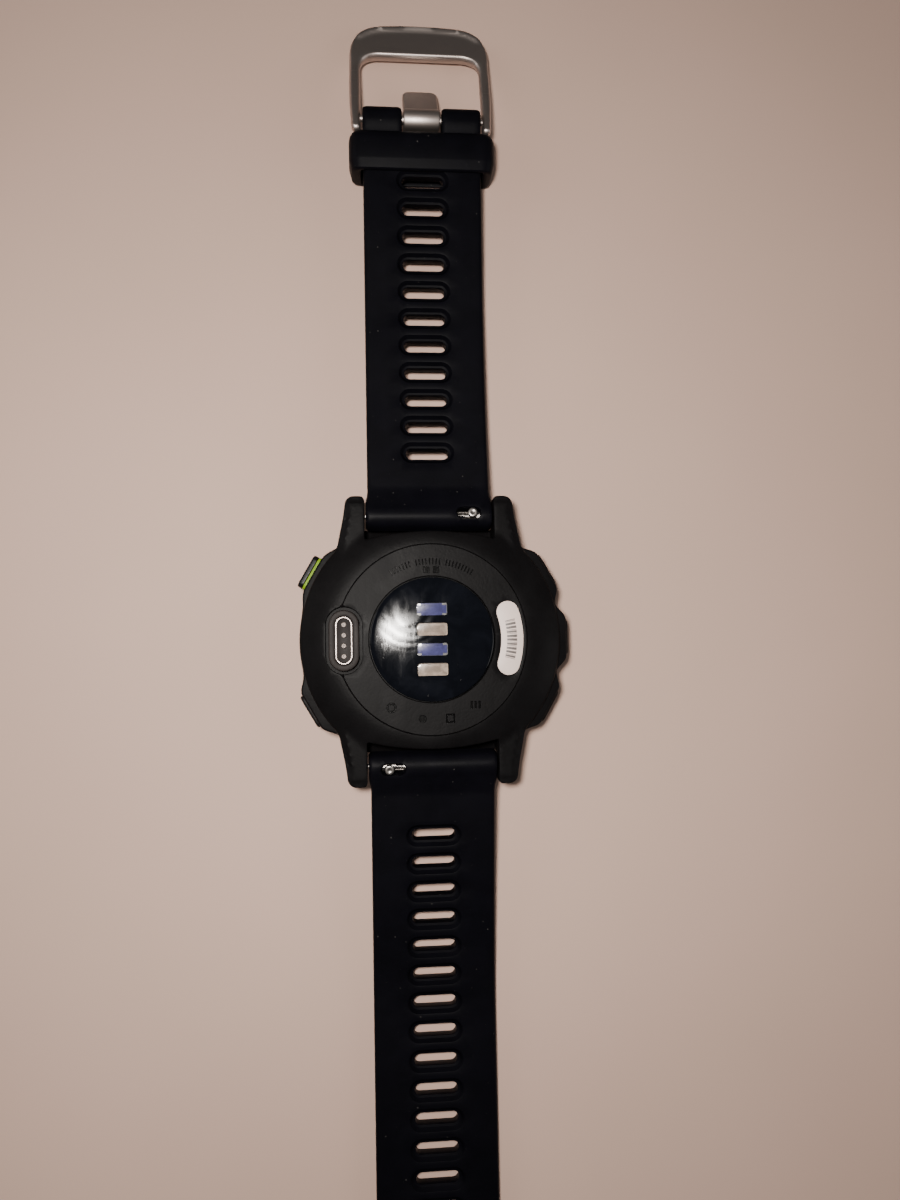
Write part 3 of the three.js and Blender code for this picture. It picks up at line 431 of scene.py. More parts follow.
def window_finish(shade, chips):
    """The dark sensor window: black where it is printed, clear over each chip."""
    finish = Finish("sensor_window_glass")
    x, y, _ = finish.axes()
    clear = None
    for middle, half_x, half_y in chips:
        mask = round_box_mask(x - middle[0], y - middle[1], half_x, half_y, 0.5)
        clear = mask if clear is None else clear + mask
    clear = clear.clamped()
    film = finish.noise(0.16, 5.0, 0.65, distortion=0.9).ease(0.38, 0.7)
    wipe = finish.noise(0.9, 4.0, 0.7, stretch=(1.0, 0.25, 1.0)).ease(0.5, 0.72)
    middle = finish.vector("SUBTRACT", finish.place(), (-3.0, 4.5, 0.0))
    ridge_sockets = {"Vector": middle, "Scale": 0.75, "Distortion": 2.2, "Detail Scale": 0.35}
    rings = {"wave_type": "RINGS", "rings_direction": "SPHERICAL"}
    ridges = finish.value("ShaderNodeTexWave", rings, ridge_sockets, 1)
    print_mark = ridges * distance_from(finish, -3.6, 2.4).ease(5.2, 2.4)
    speck = finish.cells(0.9).ease(0.07, 0.03) * finish.noise(0.4).ease(0.5, 0.58)
    base = finish.mix((film * 0.4 + print_mark * 0.5).clamped(), shade, scaled(shade, 3.0))
    base = finish.mix(speck * 0.5, base, (0.2, 0.19, 0.18))
    gloss = 0.07 + film * 0.05 + wipe * 0.05 + print_mark * 0.10 + speck * 0.3
    return finish.shade(
        Base_Color=base,
        Roughness=gloss.clamped(),
        Alpha=1 - clear * 0.82,
        Normal=finish.bump(print_mark + wipe * 0.5, 0.006),
        IOR=1.34,
    )


def glass_finish(shade):
    """Polished black display glass with a printed border and light wipe marks."""
    finish = Finish("display_glass")
    radius = distance_from(finish, 0.0, 0.0)
    film = finish.noise(0.1, 4.0, 0.6, distortion=0.8).ease(0.4, 0.75)
    hairs = finish.noise(0.8, 3.0, 0.6, stretch=(1.0, 0.06, 1.0)).ease(0.68, 0.72)
    edge = radius.ease(14.0, 14.3)
    base = finish.mix(edge, scaled(shade, 1.8), shade)
    return finish.shade(
        Base_Color=finish.mix(hairs * 0.2, base, (0.1, 0.1, 0.1)),
        Roughness=(0.03 + film * 0.05 + hairs * 0.15).clamped(),
        Normal=finish.bump(hairs, 0.003),
        IOR=1.52,
        Coat_Weight=0.5,
        Coat_Roughness=0.02,
    )


def label_finish(shade):
    """Label film with generic printed bars that follow its curve."""
    finish = Finish("label_film")
    x, y, _ = finish.axes()
    radius = distance_from(finish, 0.0, 0.0)
    turn = y.math("ARCTAN2", x) * (180 / math.pi)
    rows = ring_mask(radius, 11.75, 13.35, 0.08) * abs(turn + 1).ease(14.2, 14.0)
    wide = stripes(turn, 0.34, 0.25, 0.2)
    thin = stripes(turn, 0.79, 0.17, 0.12)
    ink = (rows * (wide + thin).clamped()).clamped()
    fibre = finish.noise(3.5, 4.0, 0.65)
    stain = finish.noise(0.35, 3.0, 0.6).ease(0.4, 0.75)
    base = finish.mix(stain * 0.35, shade, scaled(shade, 0.86))
    base = finish.mix(ink * (0.75 + fibre * 0.25), base, (0.02, 0.018, 0.02))
    return finish.shade(
        Base_Color=base,
        Roughness=(0.42 + fibre * 0.14 - ink * 0.08).clamped(),
        Normal=finish.bump(fibre, 0.006),
    )


def chip_finish(name, shade, low, high, silver_corners):
    """A sensor chip: tinted window in a pale frame, with silver corners on a diode."""
    finish = Finish(name)
    x, y, _ = finish.axes()
    middle, half = (low + high) / 2, (high - low) / 2
    across, along = abs(x - middle[0]), abs(y - middle[1])
    rim = (across / half[0]).math("MAXIMUM", along / half[1])
    cloud = finish.noise(0.9, 3.0, 0.6, distortion=0.6)
    grain = finish.noise(9.0, 2.0, 0.6)
    base = finish.mix(cloud.ease(0.3, 0.75), scaled(shade, 0.75), scaled(shade, 1.3))
    if silver_corners:
        corner = across.ease(half[0] - 0.85, half[0] - 0.7)
        corner = corner * along.ease(half[1] - 0.42, half[1] - 0.3)
        shine = (corner + rim.ease(0.93, 0.97) * 0.6).clamped()
        base = finish.mix(shine, base, (0.72, 0.71, 0.70))
        metallic = shine * 0.85
    else:
        lens = across.ease(1.3, 1.2) * along.ease(0.55, 0.45)
        base = finish.mix(lens * 0.5, base, scaled(shade, 0.55))
        base = finish.mix(rim.ease(0.88, 0.95) * 0.6, base, scaled(shade, 1.5))
        metallic = 0.0
    return finish.shade(
        Base_Color=base,
        Metallic=metallic,
        Roughness=(0.22 + grain * 0.15).clamped(),
        Normal=finish.bump(grain, 0.004),
        Coat_Weight=0.3,
    )


def board_finish():
    """Solder mask over copper tracks."""
    finish = Finish("circuit_board")
    tracks = finish.noise(0.8, 1.0, stretch=(1.0, 0.3, 1.0)).ease(0.48, 0.52)
    weave = finish.noise(5.0, 2.0, stretch=(1.0, 0.2, 1.0))
    pads = finish.cells(0.7, 0.2).ease(0.22, 0.18)
    base = finish.mix(tracks, (0.010, 0.065, 0.022), (0.02, 0.11, 0.04))
    base = finish.mix(pads, base, (0.75, 0.55, 0.25))
    return finish.shade(
        Base_Color=base,
        Metallic=pads * 0.9,
        Roughness=(0.32 + weave * 0.15).clamped(),
        Normal=finish.bump(tracks + weave * 0.3, 0.02),
    )


def floor_finish(shade):
    """A plain pale table top with the faintest unevenness."""
    finish = Finish("table_top")
    cloud = finish.noise(0.012, 3.0, 0.5)
    grain = finish.noise(1.6, 3.0, 0.6)
    base = finish.mix(cloud.ease(0.3, 0.7), scaled(shade, 0.97), scaled(shade, 1.03))
    return finish.shade(
        Base_Color=base,
        Roughness=(0.62 + grain * 0.08).clamped(),
        Normal=finish.bump(grain, 0.01),
        Specular_IOR_Level=0.3,
    )


CHIPS = ("photodiode_upper", "led_upper", "photodiode_lower", "led_lower")
MATERIALS = {}


def make_materials(colours):
    """Fills MATERIALS with every finish of the watch."""
    low_high = {name: node_box(name) for name in CHIPS}
    window_chips = [
        ((low + high) / 2, (high - low)[0] / 2 + 0.05, (high - low)[1] / 2 + 0.05)
        for low, high in low_high.values()
    ]
    made = {
        "polymer": moulded("case_polymer", colours.polymer, 0.45, 5.5, 0.010, specular=0.055),
        "back": back_finish(colours.polymer),
        "silicone": moulded(
            "strap_silicone", colours.silicone, 0.52, 7.0, 0.006, specular=0.05, dust=0.25
        ),
        "keeper": moulded(
            "keeper_silicone", colours.silicone, 0.5, 7.0, 0.005, specular=0.06, dust=0.35
        ),
        "button": moulded("button_plastic", colours.button, 0.4, 6.0, 0.005, specular=0.1),
        "lime": moulded("lime_plastic", colours.lime, 0.5, 6.0, 0.004, specular=0.12),
        "rubber": moulded("seal_rubber", (0.008, 0.008, 0.008), 0.75, 4.0, 0.008),
        "inner": moulded("inner_plastic", (0.05, 0.055, 0.05), 0.5, 4.0, 0.008),
        "panel": moulded("port_plastic", (0.012, 0.009, 0.0085), 0.5, 6.0, 0.006, specular=0.1),
        "steel": metal("buckle_steel", colours.steel, 0.40, 9.0, 0.004),
        "bar": metal("bar_steel", colours.bar, 0.34, 6.0, 0.003, brushed=(0.05, 1.0, 1.0)),
        "contact": metal("contact_plating", scaled(colours.port, 0.5), 0.45, 8.0, 0.002),
        "port": metal("port_plating", colours.port, 0.3, 8.0, 0.002, tarnish=0.4),
        "cell": metal("cell_can", (0.42, 0.43, 0.45), 0.36, 5.0, 0.004, brushed=(0.1, 1.0, 1.0)),
        "copper": metal("copper_foil", (0.62, 0.30, 0.15), 0.34, 5.0, 0.004),
        "window": window_finish(colours.window, window_chips),
        "glass": glass_finish(colours.glass),
        "label": label_finish(colours.label),
        "board": board_finish(),
        "floor": floor_finish(colours.floor),
    }
    for name, (low, high) in low_high.items():
        diode = name.startswith("photodiode")
        shade = colours.diode if diode else colours.emitter
        made[name] = chip_finish(name + "_finish", tuple(shade), low, high, diode)
    MATERIALS.update({key: finish.material for key, finish in made.items()})


# ------------------------------------------------------------------ outlines, in millimetres


def polar(radius, angle):
    """The point at a radius and an angle in degrees."""
    turn = math.radians(angle)
    return radius * math.cos(turn), radius * math.sin(turn)


def arc(radius, start, end, steps):
    """Points along a round stretch between two angles in degrees."""
    return [polar(radius, start + (end - start) * i / steps) for i in range(steps + 1)]


def circle(radius, count):
    """A closed round outline."""
    return [polar(radius, 360 * i / count) for i in range(count)]


def rounded(corners, steps, spacing=None):
    """A closed outline from corners (x, y, rounding), with long sides cut to the spacing."""
    points = []
    count = len(corners)
    for i, corner in enumerate(corners):
        here = Vector(corner[:2])
        size = corner[2] if len(corner) > 2 else 0
        back = Vector(corners[i - 1][:2]) - here
        ahead = Vector(corners[(i + 1) % count][:2]) - here
        reach = min(size, back.length * 0.49, ahead.length * 0.49)
        if reach <= 0:
            points.append(tuple(here))
            continue
        back = back.normalized() * reach
        ahead = ahead.normalized() * reach
        for k in range(steps + 1):
            t = k / steps
            points.append(tuple(here + back * (1 - t) ** 2 + ahead * t * t))
    return spaced(points, spacing) if spacing else points


def spaced(points, spacing):
    """Adds points so that no side of a closed outline is longer than the spacing."""
    made = []
    for i, first in enumerate(points):
        a, b = Vector(first), Vector(points[(i + 1) % len(points)])
        pieces = max(1, math.ceil((b - a).length / spacing))
        made += [tuple(a.lerp(b, k / pieces)) for k in range(pieces)]
    return made


def rounded_box(width, length, size, steps, spacing=None):
    """A box outline round the origin, with rounded corners."""
    x, y = width / 2, length / 2
    corners = [(x, -y, size), (x, y, size), (-x, y, size), (-x, -y, size)]
    return rounded(corners, steps, spacing)


def stadium(length, width, steps):
    """An outline with two straight sides along x and two round ends."""
    shift = (length - width) / 2
    right = [(x + shift, y) for x, y in arc(width / 2, -90, 90, steps)]
    left = [(x - shift, y) for x, y in arc(width / 2, 90, 270, steps)]
    return right + left


def inward(points):
    """For each point of an outline, the step that moves its two sides in by one."""
    made = []
    for i, point in enumerate(points):
        here = Vector(point)
        before = (here - Vector(points[i - 1])).normalized()
        after = (Vector(points[(i + 1) % len(points)]) - here).normalized()
        normal = Vector((-before.y - after.y, before.x + after.x)).normalized()
        share = max(0.6, normal.x * -before.y + normal.y * before.x)
        made.append(normal / share)
    return made


def moved(points, steps, distance):
    """An outline moved in by a distance along its steps."""
    return [(p[0] + s[0] * distance, p[1] + s[1] * distance) for p, s in zip(points, steps)]


def quarter_round(size, steps):
    """(distance in, drop) along a rounded edge, from the side wall to the face."""
    made = []
    for i in range(steps + 1):
        a = math.radians(90 * i / steps)
        made.append((size * (1 - math.cos(a)), size * (1 - math.sin(a))))
    return made


def soft_edge(outline, height, size, steps, face_up=True):
    """Loops (x, y, height) over a face's rounded edge, from low to high."""
    step = inward(outline)
    levels = quarter_round(size, steps)
    sign = 1 if face_up else -1
    return [
        [(x, y, height - sign * drop) for x, y in moved(outline, step, distance)]
        for distance, drop in levels[::sign]
    ]


def smooth(t):
    """A smooth step from 0 to 1."""
    t = min(1.0, max(0.0, t))
    return t * t * (3 - 2 * t)


def smooth_max(a, b, size):
    """The greater of two heights, with the crease between them rounded."""
    h = max(0.0, min(1.0, 0.5 + 0.5 * (a - b) / size))
    return b * (1 - h) + a * h + size * h * (1 - h)


def hex_grid(low, high, step):
    """Points of a triangular grid between two corners."""
    made = []
    row = 0
    y = low[1]
    while y <= high[1]:
        x = low[0] + (step / 2 if row % 2 else 0)
        while x <= high[0]:
            made.append((x, y))
            x += step
        y += step * 0.87
        row += 1
    return made


def distance_to_outline(points, outline):
    """Distance of each point to a closed outline, and whether it lies inside."""
    p = np.array(points, float)[:, None, :]
    a = np.array(outline, float)
    b = np.roll(a, -1, axis=0)
    d = b - a
    t = np.clip(((p - a) * d).sum(2) / np.maximum((d * d).sum(1), 1e-12), 0, 1)
    gap = np.linalg.norm(p - (a + t[..., None] * d), axis=2).min(1)
    crosses = (a[:, 1] > p[..., 1]) != (b[:, 1] > p[..., 1])
    with np.errstate(divide="ignore", invalid="ignore"):
        at = a[:, 0] + (p[..., 1] - a[:, 1]) * d[:, 0] / d[:, 1]
    inside = (crosses & (p[..., 0] < at)).sum(1) % 2 == 1
    return gap, inside


# ------------------------------------------------------------------ bodies


class Body:
    """A closed mesh gathered from loops of (u, v, h) points."""

    def __init__(self, place=None):
        self.points = []
        self.faces = []
        self.place = place or (lambda u, v, h: (u, v, h))

    def loop(self, points):
        """Adds points, and returns their index list."""
        start = len(self.points)
        self.points += [tuple(p) for p in points]
        return list(range(start, len(self.points)))

    def strip(self, first, second):
        """Joins two loops of the same count with four-sided faces."""
        count = len(first)
        for i in range(count):
            j = (i + 1) % count
            self.faces.append((first[i], first[j], second[j], second[i]))

    def stack(self, loops):
        """Joins loops one after another, and returns their index lists."""
        made = [self.loop(points) for points in loops]
        for first, second in zip(made, made[1:]):
            self.strip(first, second)
        return made

    def cap(self, loop):
        """Closes a loop with one face."""
        self.faces.append(tuple(loop))

    def fan(self, loop, point):
        """Closes a loop with triangles to one point."""
        tip = self.loop([point])[0]
        for i in range(len(loop)):
            self.faces.append((loop[i], loop[(i + 1) % len(loop)], tip))

    def field(self, rim, holes, scatter=(), height=None, clearance=0.25):
        """Fills a rim round its holes with triangles, through scattered points at a height."""
        ids = list(rim)
        edges = [(k, (k + 1) % len(rim)) for k in range(len(rim))]
        owner = {}
        for number, hole in enumerate(holes):
            start = len(ids)
            count = len(hole)
            edges += [(start + k, start + (k + 1) % count) for k in range(count)]
            owner.update({i: number for i in hole})
            ids += hole
        if len(scatter):
            outlines = [[self.points[i][:2] for i in ring] for ring in (rim, *holes)]
            gap, keep = distance_to_outline(scatter, outlines[0])
            keep &= gap > clearance
            for outline in outlines[1:]:
                gap, inside = distance_to_outline(scatter, outline)
                keep &= (gap > clearance) & ~inside
            kept = [p for p, good in zip(scatter, keep) if good]
            ids += self.loop([(u, v, height(u, v)) for u, v in kept])
        flat = [Vector(self.points[i][:2]) for i in ids]
        # A new point, made where edges cross, takes the height of the nearest rim point.
        made = delaunay_2d_cdt(flat, edges, [], 1, 1e-6)
        index = []
        for place, origin in zip(made[0], made[3]):
            if origin:
                index.append(ids[origin[0]])
                continue
            near = min(rim, key=lambda i: math.dist(self.points[i][:2], place))
            index += self.loop([(*place, self.points[near][2])])
        # A triangle whose corners all lie on one hole would close that hole.
        for triangle in made[2]:
            corners = tuple(index[k] for k in triangle)
            owners = {owner.get(i) for i in corners}
            if len(owners) == 1 and None not in owners:
                continue
            self.faces.append(corners)

    def mesh(self, name):
        """The mesh in metres, with its faces turned outwards."""
        data = bpy.data.meshes.new(name)
        places = [Vector(self.place(*p)) * MM for p in self.points]
        data.from_pydata(places, [], self.faces)
        work = bmesh.new()
        work.from_mesh(data)
        bmesh.ops.remove_doubles(work, verts=work.verts, dist=1e-7)
        loose = [v for v in work.verts if not v.link_faces]
        bmesh.ops.delete(work, geom=loose, context="VERTS")
        bmesh.ops.recalc_face_normals(work, faces=work.faces)
        work.to_mesh(data)
        work.free()
        return data


def lathe(body, profile, count, closed=False):
    """Turns (radius, height) points about h. An open profile starts and ends on the axis."""
    ring = lambda r, h: [(x, y, h) for x, y in circle(r, count)]
    if closed:
        loops = body.stack([ring(r, h) for r, h in profile])
        body.strip(loops[-1], loops[0])
        return
    loops = body.stack([ring(r, h) for r, h in profile[1:-1]])
    body.fan(loops[0], (0, 0, profile[0][1]))
    body.fan(loops[-1], (0, 0, profile[-1][1]))


def slab(body, outline, low, high, size, steps=4):
    """A body on an outline between two heights, with rounded edges."""
    foot = soft_edge(outline, low, size, steps, face_up=False)
    made = body.stack(foot + soft_edge(outline, high, size, steps))
    body.cap(made[0])
    body.cap(made[-1])


def place_piece(name, body, material, rides, replaces, sharp=38.0):
    """Makes the object of a body, parents it to its frame body if it has one and hides the frame
    nodes it is built in place of.
    """
    data = body.mesh(name)
    piece = bpy.data.objects.new(name, data)
    bpy.context.scene.collection.objects.link(piece)
    data.materials.append(MATERIALS[material])
    data.shade_smooth()
    data.set_sharp_from_angle(angle=math.radians(sharp))
    if rides:
        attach(piece, rides)
    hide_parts(*replaces)
    return piece


def carry(name, material, width):
    """Keeps a frame node: gives it a finish, soft edges and smooth shading."""
    node = frame["nodes"][name]
    node.data.materials.clear()
    node.data.materials.append(MATERIALS[material])
    node.data.shade_smooth()
    node.data.set_sharp_from_angle(angle=math.radians(40))
    if width:
        bevel = node.modifiers.new("soft_edges", "BEVEL")
        bevel.width = width * MM
        bevel.segments = 2
        bevel.limit_method = "ANGLE"
        bevel.angle_limit = math.radians(50)
        bevel.harden_normals = True


# ------------------------------------------------------------------ case shells

# All sizes are in millimetres; heights are over the table, with the glass at 0. The port's
# outlines are (length, width), and the button's and its well's (width, length, rounding).
HALF_GAP = 10.3
CASE_RADIUS = 20.7
BACK_RADIUS = 20.6
LUG_TIP = 22.9
LUG_OUTER = 13.5
POCKET_Y = 15.85
POCKET_SAG = 1.25
DISC_RADIUS = 14.9
BOSS_RADIUS = 21.85
COLLARED_BOSS_RADIUS = 21.35
PARTING_Z = 7.9
BACK_FOOT_Z = 8.12
DISC_Z = 10.9
CASE_FRONT_Z = 2.2
RAMP_START_Y = 16.15
RAMP_RISE = 2.9
BAY_RADIUS = 17.4
BAY_HALF_Y = 15.3
BAY_STEP_Z = 3.2
DISPLAY_BORE = 14.9
DISC_RIM_Z = 10.8
GROOVE_WIDTH = 0.15
SHOULDER_Z = 10.5
LUG_BACK_Z = 9.5
LUG_ROOT_Y = 10.4
LUG_SPAN = 11.4
LUG_CREASE_Y = 21.75
LEDGE_Y = 18.0
LEDGE_TOP_Z = 4.7
PORT_GROOVE = (10.5, 5.7)
PORT_PANEL = (9.5, 4.7)
PORT_SEAT = (7.72, 2.92)
PORT_RIM = (7.6, 2.8)
PORT_FLOOR_Z = 9.3
PANEL_TOP = 10.6
LABEL_RADIUS = 12.55
LABEL_HALF_WIDTH = 1.75
LABEL_TURN = 18.8
LABEL_FLOOR_Z = 10.78
BUTTON_SIZE = (2.6, 5.7, 0.9)
BUTTON_WELL = (3.2, 6.3, 1.1)
BUTTON_Z = 5.0
BUTTON_CROWN = 0.05
BUTTON_ROUND = 0.3
STEM_RADIUS = 0.85
STEM_END = 17.1
PORT_X = -13.7
BUTTON_ANGLES = {"start": 150, "back": 210, "up": 30, "light": 0, "down": 330}


def lug_side():
    """Corners of one lug from its outer root to the middle of the strap pocket."""
    corners = [
        (LUG_OUTER + 1.15, 14.75, 3.0),
        (LUG_OUTER + 0.1, LUG_TIP - 3, 1.5),
        (LUG_OUTER - 0.25, LUG_TIP, 2.6),
        (HALF_GAP, LUG_TIP, 0.9),
        (HALF_GAP, POCKET_Y, 0.35),
    ]
    steps = 8
    for i in range(1, steps):
        t = 1 - 2 * i / steps
        corners.append((HALF_GAP * t, POCKET_Y + POCKET_SAG * (1 - t * t)))
    return corners


def boss_reach(name, angle, plain):
    """How far a boss stands out at an angle, over the plain case radius."""
    offset = (angle - BUTTON_ANGLES[name] + 180) % 360 - 180
    if abs(offset) > 25:
        return plain
    front = COLLARED_BOSS_RADIUS if name == "start" else BOSS_RADIUS
    turn = math.radians(offset)
    face = front / math.cos(turn)
    half, foot, foot_x = 3.6, 5.1, 20.0
    run = (foot - half) / (front - foot_x)
    slope = (half + run * front) / (math.sin(abs(turn)) + run * math.cos(turn))
    bump = -smooth_max(-face, -slope, 0.9)
    return smooth_max(plain, bump, 1.1)


def case_side(radius, bosses, start, end):
    """The round side of the case between two angles, with or without its bosses."""
    made = []
    steps = 150
    for i in range(steps + 1):
        angle = start + (end - start) * i / steps
        reach = radius
        if bosses:
            reach = max(boss_reach(name, angle, radius) for name in BUTTON_ANGLES)
        made.append(polar(reach, angle))
    return made


def case_outline(radius, bosses):
    """The plan of a case shell: two round sides, four lugs and two strap pockets."""
    corners = case_side(radius, bosses, -42.5, 42.5)
    lug_and_pocket = lug_side()
    other_lug = lug_and_pocket[4::-1]
    corners += lug_and_pocket
    corners += [(-p[0], *p[1:]) for p in other_lug]
    corners += case_side(radius, bosses, 137.5, 222.5)
    corners += [(-p[0], -p[1], *p[2:]) for p in lug_and_pocket]
    corners += [(p[0], -p[1], *p[2:]) for p in other_lug]
    return spaced(rounded(corners, 8), 0.6)


def back_height(sizes):
    """Height of the back over a point: raised disc, falling shoulder and flat lugs."""
    foot = DISC_RADIUS + GROOVE_WIDTH

    def height(x, y):
        radius = math.hypot(x, y)
        if radius <= DISC_RADIUS - 0.1:
            return DISC_Z
        if radius <= DISC_RADIUS:
            return DISC_Z - (radius - DISC_RADIUS + 0.1)
        if radius <= foot:
            return DISC_RIM_Z - (DISC_RIM_Z - SHOULDER_Z) * (radius - DISC_RADIUS) / GROOVE_WIDTH
        t = min(1.0, (radius - foot) / (BACK_RADIUS - foot))
        shoulder = SHOULDER_Z - sizes.shoulder_drop * t**1.7
        far = abs(y)
        if far < LUG_ROOT_Y + 1:
            return shoulder
        facet = LUG_BACK_Z - (far - LUG_ROOT_Y) * (0.1 + sizes.lug_droop) / LUG_SPAN
        facet = -smooth_max(-facet, -(8.85 - (far - LUG_CREASE_Y) * 0.55), 0.08)
        outer = LUG_OUTER + 0.1 + max(0.0, LUG_TIP - 3 - far) * 0.205
        beside = max(0.0, abs(x) - outer + 0.95)
        return smooth_max(shoulder, facet - beside * 0.85, 0.1)

    return height


def back_shell(sizes):
    """The back shell with its window seat, port groove and label recess."""
    height = back_height(sizes)
    outline = case_outline(BACK_RADIUS, False)
    step = inward(outline)
    size = min(0.24, sizes.edge_round)
    body = Body()
    loops = soft_edge(outline, BACK_FOOT_Z, 0.06, 2, face_up=False)
    for distance, drop in quarter_round(size, 4):
        edge = moved(outline, step, distance)
        loops.append([(x, y, max(8.3, height(x, y) - drop)) for x, y in edge])
    made = body.stack(loops)
    count = sizes.segments
    window = [
        (9.96, DISC_Z), (9.88, 10.86), (9.84, 10.78), (9.8, 10.3),
        (8.78, 10.3), (8.78, 9.9), (11.5, 9.9), (11.5, BACK_FOOT_Z),
    ]
    seat = body.stack([[(x, y, h) for x, y in circle(r, count)] for r, h in window])
    length, width = PORT_GROOVE
    groove = lambda grow: port_stadium(length + 2 * grow, width + 2 * grow)
    port = recess(body, groove, height, PORT_FLOOR_Z)
    label = recess(body, lambda g: label_outline(0.12 + g), height, LABEL_FLOOR_Z, 0.02)
    ridge = []
    for radius in (DISC_RADIUS - 0.16, DISC_RADIUS - 0.1, DISC_RADIUS - 0.05, DISC_RADIUS,
                   DISC_RADIUS + 0.07, DISC_RADIUS + 0.15, DISC_RADIUS + 0.3):
        ridge += circle(radius, count)
    loose = [p for p in hex_grid((-21, -23), (21, 23), sizes.grid)
             if math.hypot(*p) > DISC_RADIUS + 0.5]
    loose += [p for p in hex_grid((-15, -15), (15, 15), 1.5) if math.hypot(*p) < DISC_RADIUS - 0.6]
    crease = [(x * side, y * end) for x in np.arange(10.6, 13.4, 0.35) for side in (1, -1)
              for y in (21.62, 21.75, 21.88) for end in (1, -1)]
    loose = [p for p in loose if not (abs(abs(p[1]) - LUG_CREASE_Y) < 0.3 and abs(p[0]) > 10)]
    body.field(made[-1], [seat[0], port, label], ridge + loose + crease, height, 0.12)
    body.field(made[0], [seat[-1]])
    return body


def recess(body, outline, top, floor, size=0.08):
    """A blind recess in a face of height top(x, y); returns the rim the face is filled up to."""
    rim = body.loop([(x, y, top(x, y)) for x, y in outline(size)])
    lip = body.loop([(x, y, top(x, y) - size * 0.3) for x, y in outline(size * 0.3)])
    wall = body.loop([(x, y, top(x, y) - size) for x, y in outline(0.0)])
    foot = body.loop([(x, y, floor + 0.01) for x, y in outline(0.0)])
    base = body.loop([(x, y, floor) for x, y in outline(-0.02)])
    for first, second in ((rim, lip), (lip, wall), (wall, foot), (foot, base)):
        body.strip(first, second)
    body.cap(base)
    return rim


def port_stadium(length, width):
    """A stadium whose long side runs along y, round the charging port's middle."""
    return [(PORT_X - y, x) for x, y in stadium(length, width, 14)]


def label_outline(grow):
    """The curved label's outline, moved out by grow."""
    radius, half, turn = LABEL_RADIUS, LABEL_HALF_WIDTH + grow, LABEL_TURN
    ends = []
    for angle, start in ((turn, turn), (-turn, -turn + 180)):
        x, y = polar(radius, angle)
        ends.append([(x + u, y + v) for u, v in arc(half, start, start + 180, 14)])
    outer = arc(radius + half, -turn, turn, 24)[1:-1]
    inner = arc(radius - half, turn, -turn, 24)[1:-1]
    return outer + ends[0] + inner + ends[1]


def mid_shell(sizes):
    """The ring of the case with its bosses, lugs and the opening for the works."""
    outline = case_outline(CASE_RADIUS, True)
    step = inward(outline)
    slope = RAMP_RISE / (LUG_TIP - RAMP_START_Y)
    ramp = lambda y: CASE_FRONT_Z + max(0.0, abs(y) - RAMP_START_Y) * slope
    sloped = lambda y: 1 - smooth((abs(y) - 15) / 2)

    def ledge(point):
        """How far the pocket's foot stands out under the strap's barrel."""
        in_pocket = abs(point[0]) < HALF_GAP + 0.2 and 14 < abs(point[1]) < LEDGE_Y
        return LEDGE_Y - abs(point[1]) if in_pocket else 0.0

    # (inset, share of the wall's height), from the upright wall down to the front edge.
    wall = [(0.0, 0.62), (0.0, 0.42), (0.05, 0.3), (0.13, 0.18), (0.25, 0.07), (0.36, 0.0)]
    loops = []
    for distance, share in reversed(wall):
        loop = []
        for point, move in zip(outline, step):
            base = ramp(point[1])
            inset = distance * (1 + 0.7 * sloped(point[1]))
            h = base + (PARTING_Z - sizes.edge_round - base) * share
            out = ledge(point) * smooth((LEDGE_TOP_Z - h) / 0.9)
            y = point[1] + move[1] * inset + math.copysign(out, point[1])
            loop.append((point[0] + move[0] * inset, y, h))
        loops.append(loop)
    loops += soft_edge(outline, PARTING_Z, sizes.edge_round, 4)
    body = Body()
    made = body.stack(loops)
    count = sizes.segments
    bay = []
    for i in range(count):
        angle = math.radians(360 * i / count)
        bay.append(min(BAY_RADIUS, BAY_HALF_Y / max(1e-6, abs(math.sin(angle)))))
    ring = lambda reach, h: [
        (r * math.cos(2 * math.pi * i / count), r * math.sin(2 * math.pi * i / count), h)
        for i, r in enumerate(reach)
    ]
    bore = [DISPLAY_BORE] * count
    opening = body.stack([
        ring(bay, PARTING_Z),
        ring(bay, BAY_STEP_Z),
        ring(bore, BAY_STEP_Z),
        ring(bore, CASE_FRONT_Z),
    ])
    body.field(made[-1], [opening[0]])
    grid = [p for p in hex_grid((-21, -23), (21, 23), 1.2) if abs(p[1]) > 15.6]
    body.field(made[0], [opening[-1]], grid, lambda x, y: ramp(y), 0.3)
    return body


def carve(piece, cutters):
    """Cuts bodies out of a piece for good."""
    for cutter in cutters:
        tool = bpy.data.objects.new("cutter", cutter.mesh("cutter"))
        bpy.context.scene.collection.objects.link(tool)
        cut = piece.modifiers.new("cut", "BOOLEAN")
        cut.operation = "DIFFERENCE"
        cut.solver = "EXACT"
        cut.object = tool
        bpy.context.view_layer.update()
        graph = bpy.context.evaluated_depsgraph_get()
        data = bpy.data.meshes.new_from_object(piece.evaluated_get(graph))
        piece.modifiers.clear()
        piece.data = data
        bpy.data.objects.remove(tool)
    piece.data.shade_smooth()
    piece.data.set_sharp_from_angle(angle=math.radians(38))


def radial(angle):
    """Places (u, v, h) with h outwards at an angle, v round the case and u towards the glass."""
    c, s = math.cos(math.radians(angle)), math.sin(math.radians(angle))
    return lambda u, v, h: (h * c - v * s, h * s + v * c, BUTTON_Z - u)


def bezel_ring(count):
    """The bezel round the display glass, with its rounded front edge."""
    body = Body()
    profile = [
        (15.55, 0.16), (15.6, 0.05), (15.72, 0.0), (17.2, 0.01), (18.4, 0.04), (18.75, 0.14),
        (19.1, 0.34), (19.4, 0.65), (19.6, 1.05), (19.7, 1.5), (19.7, 2.2), (15.55, 2.2),
    ]
    lathe(body, profile, count, closed=True)
    return body


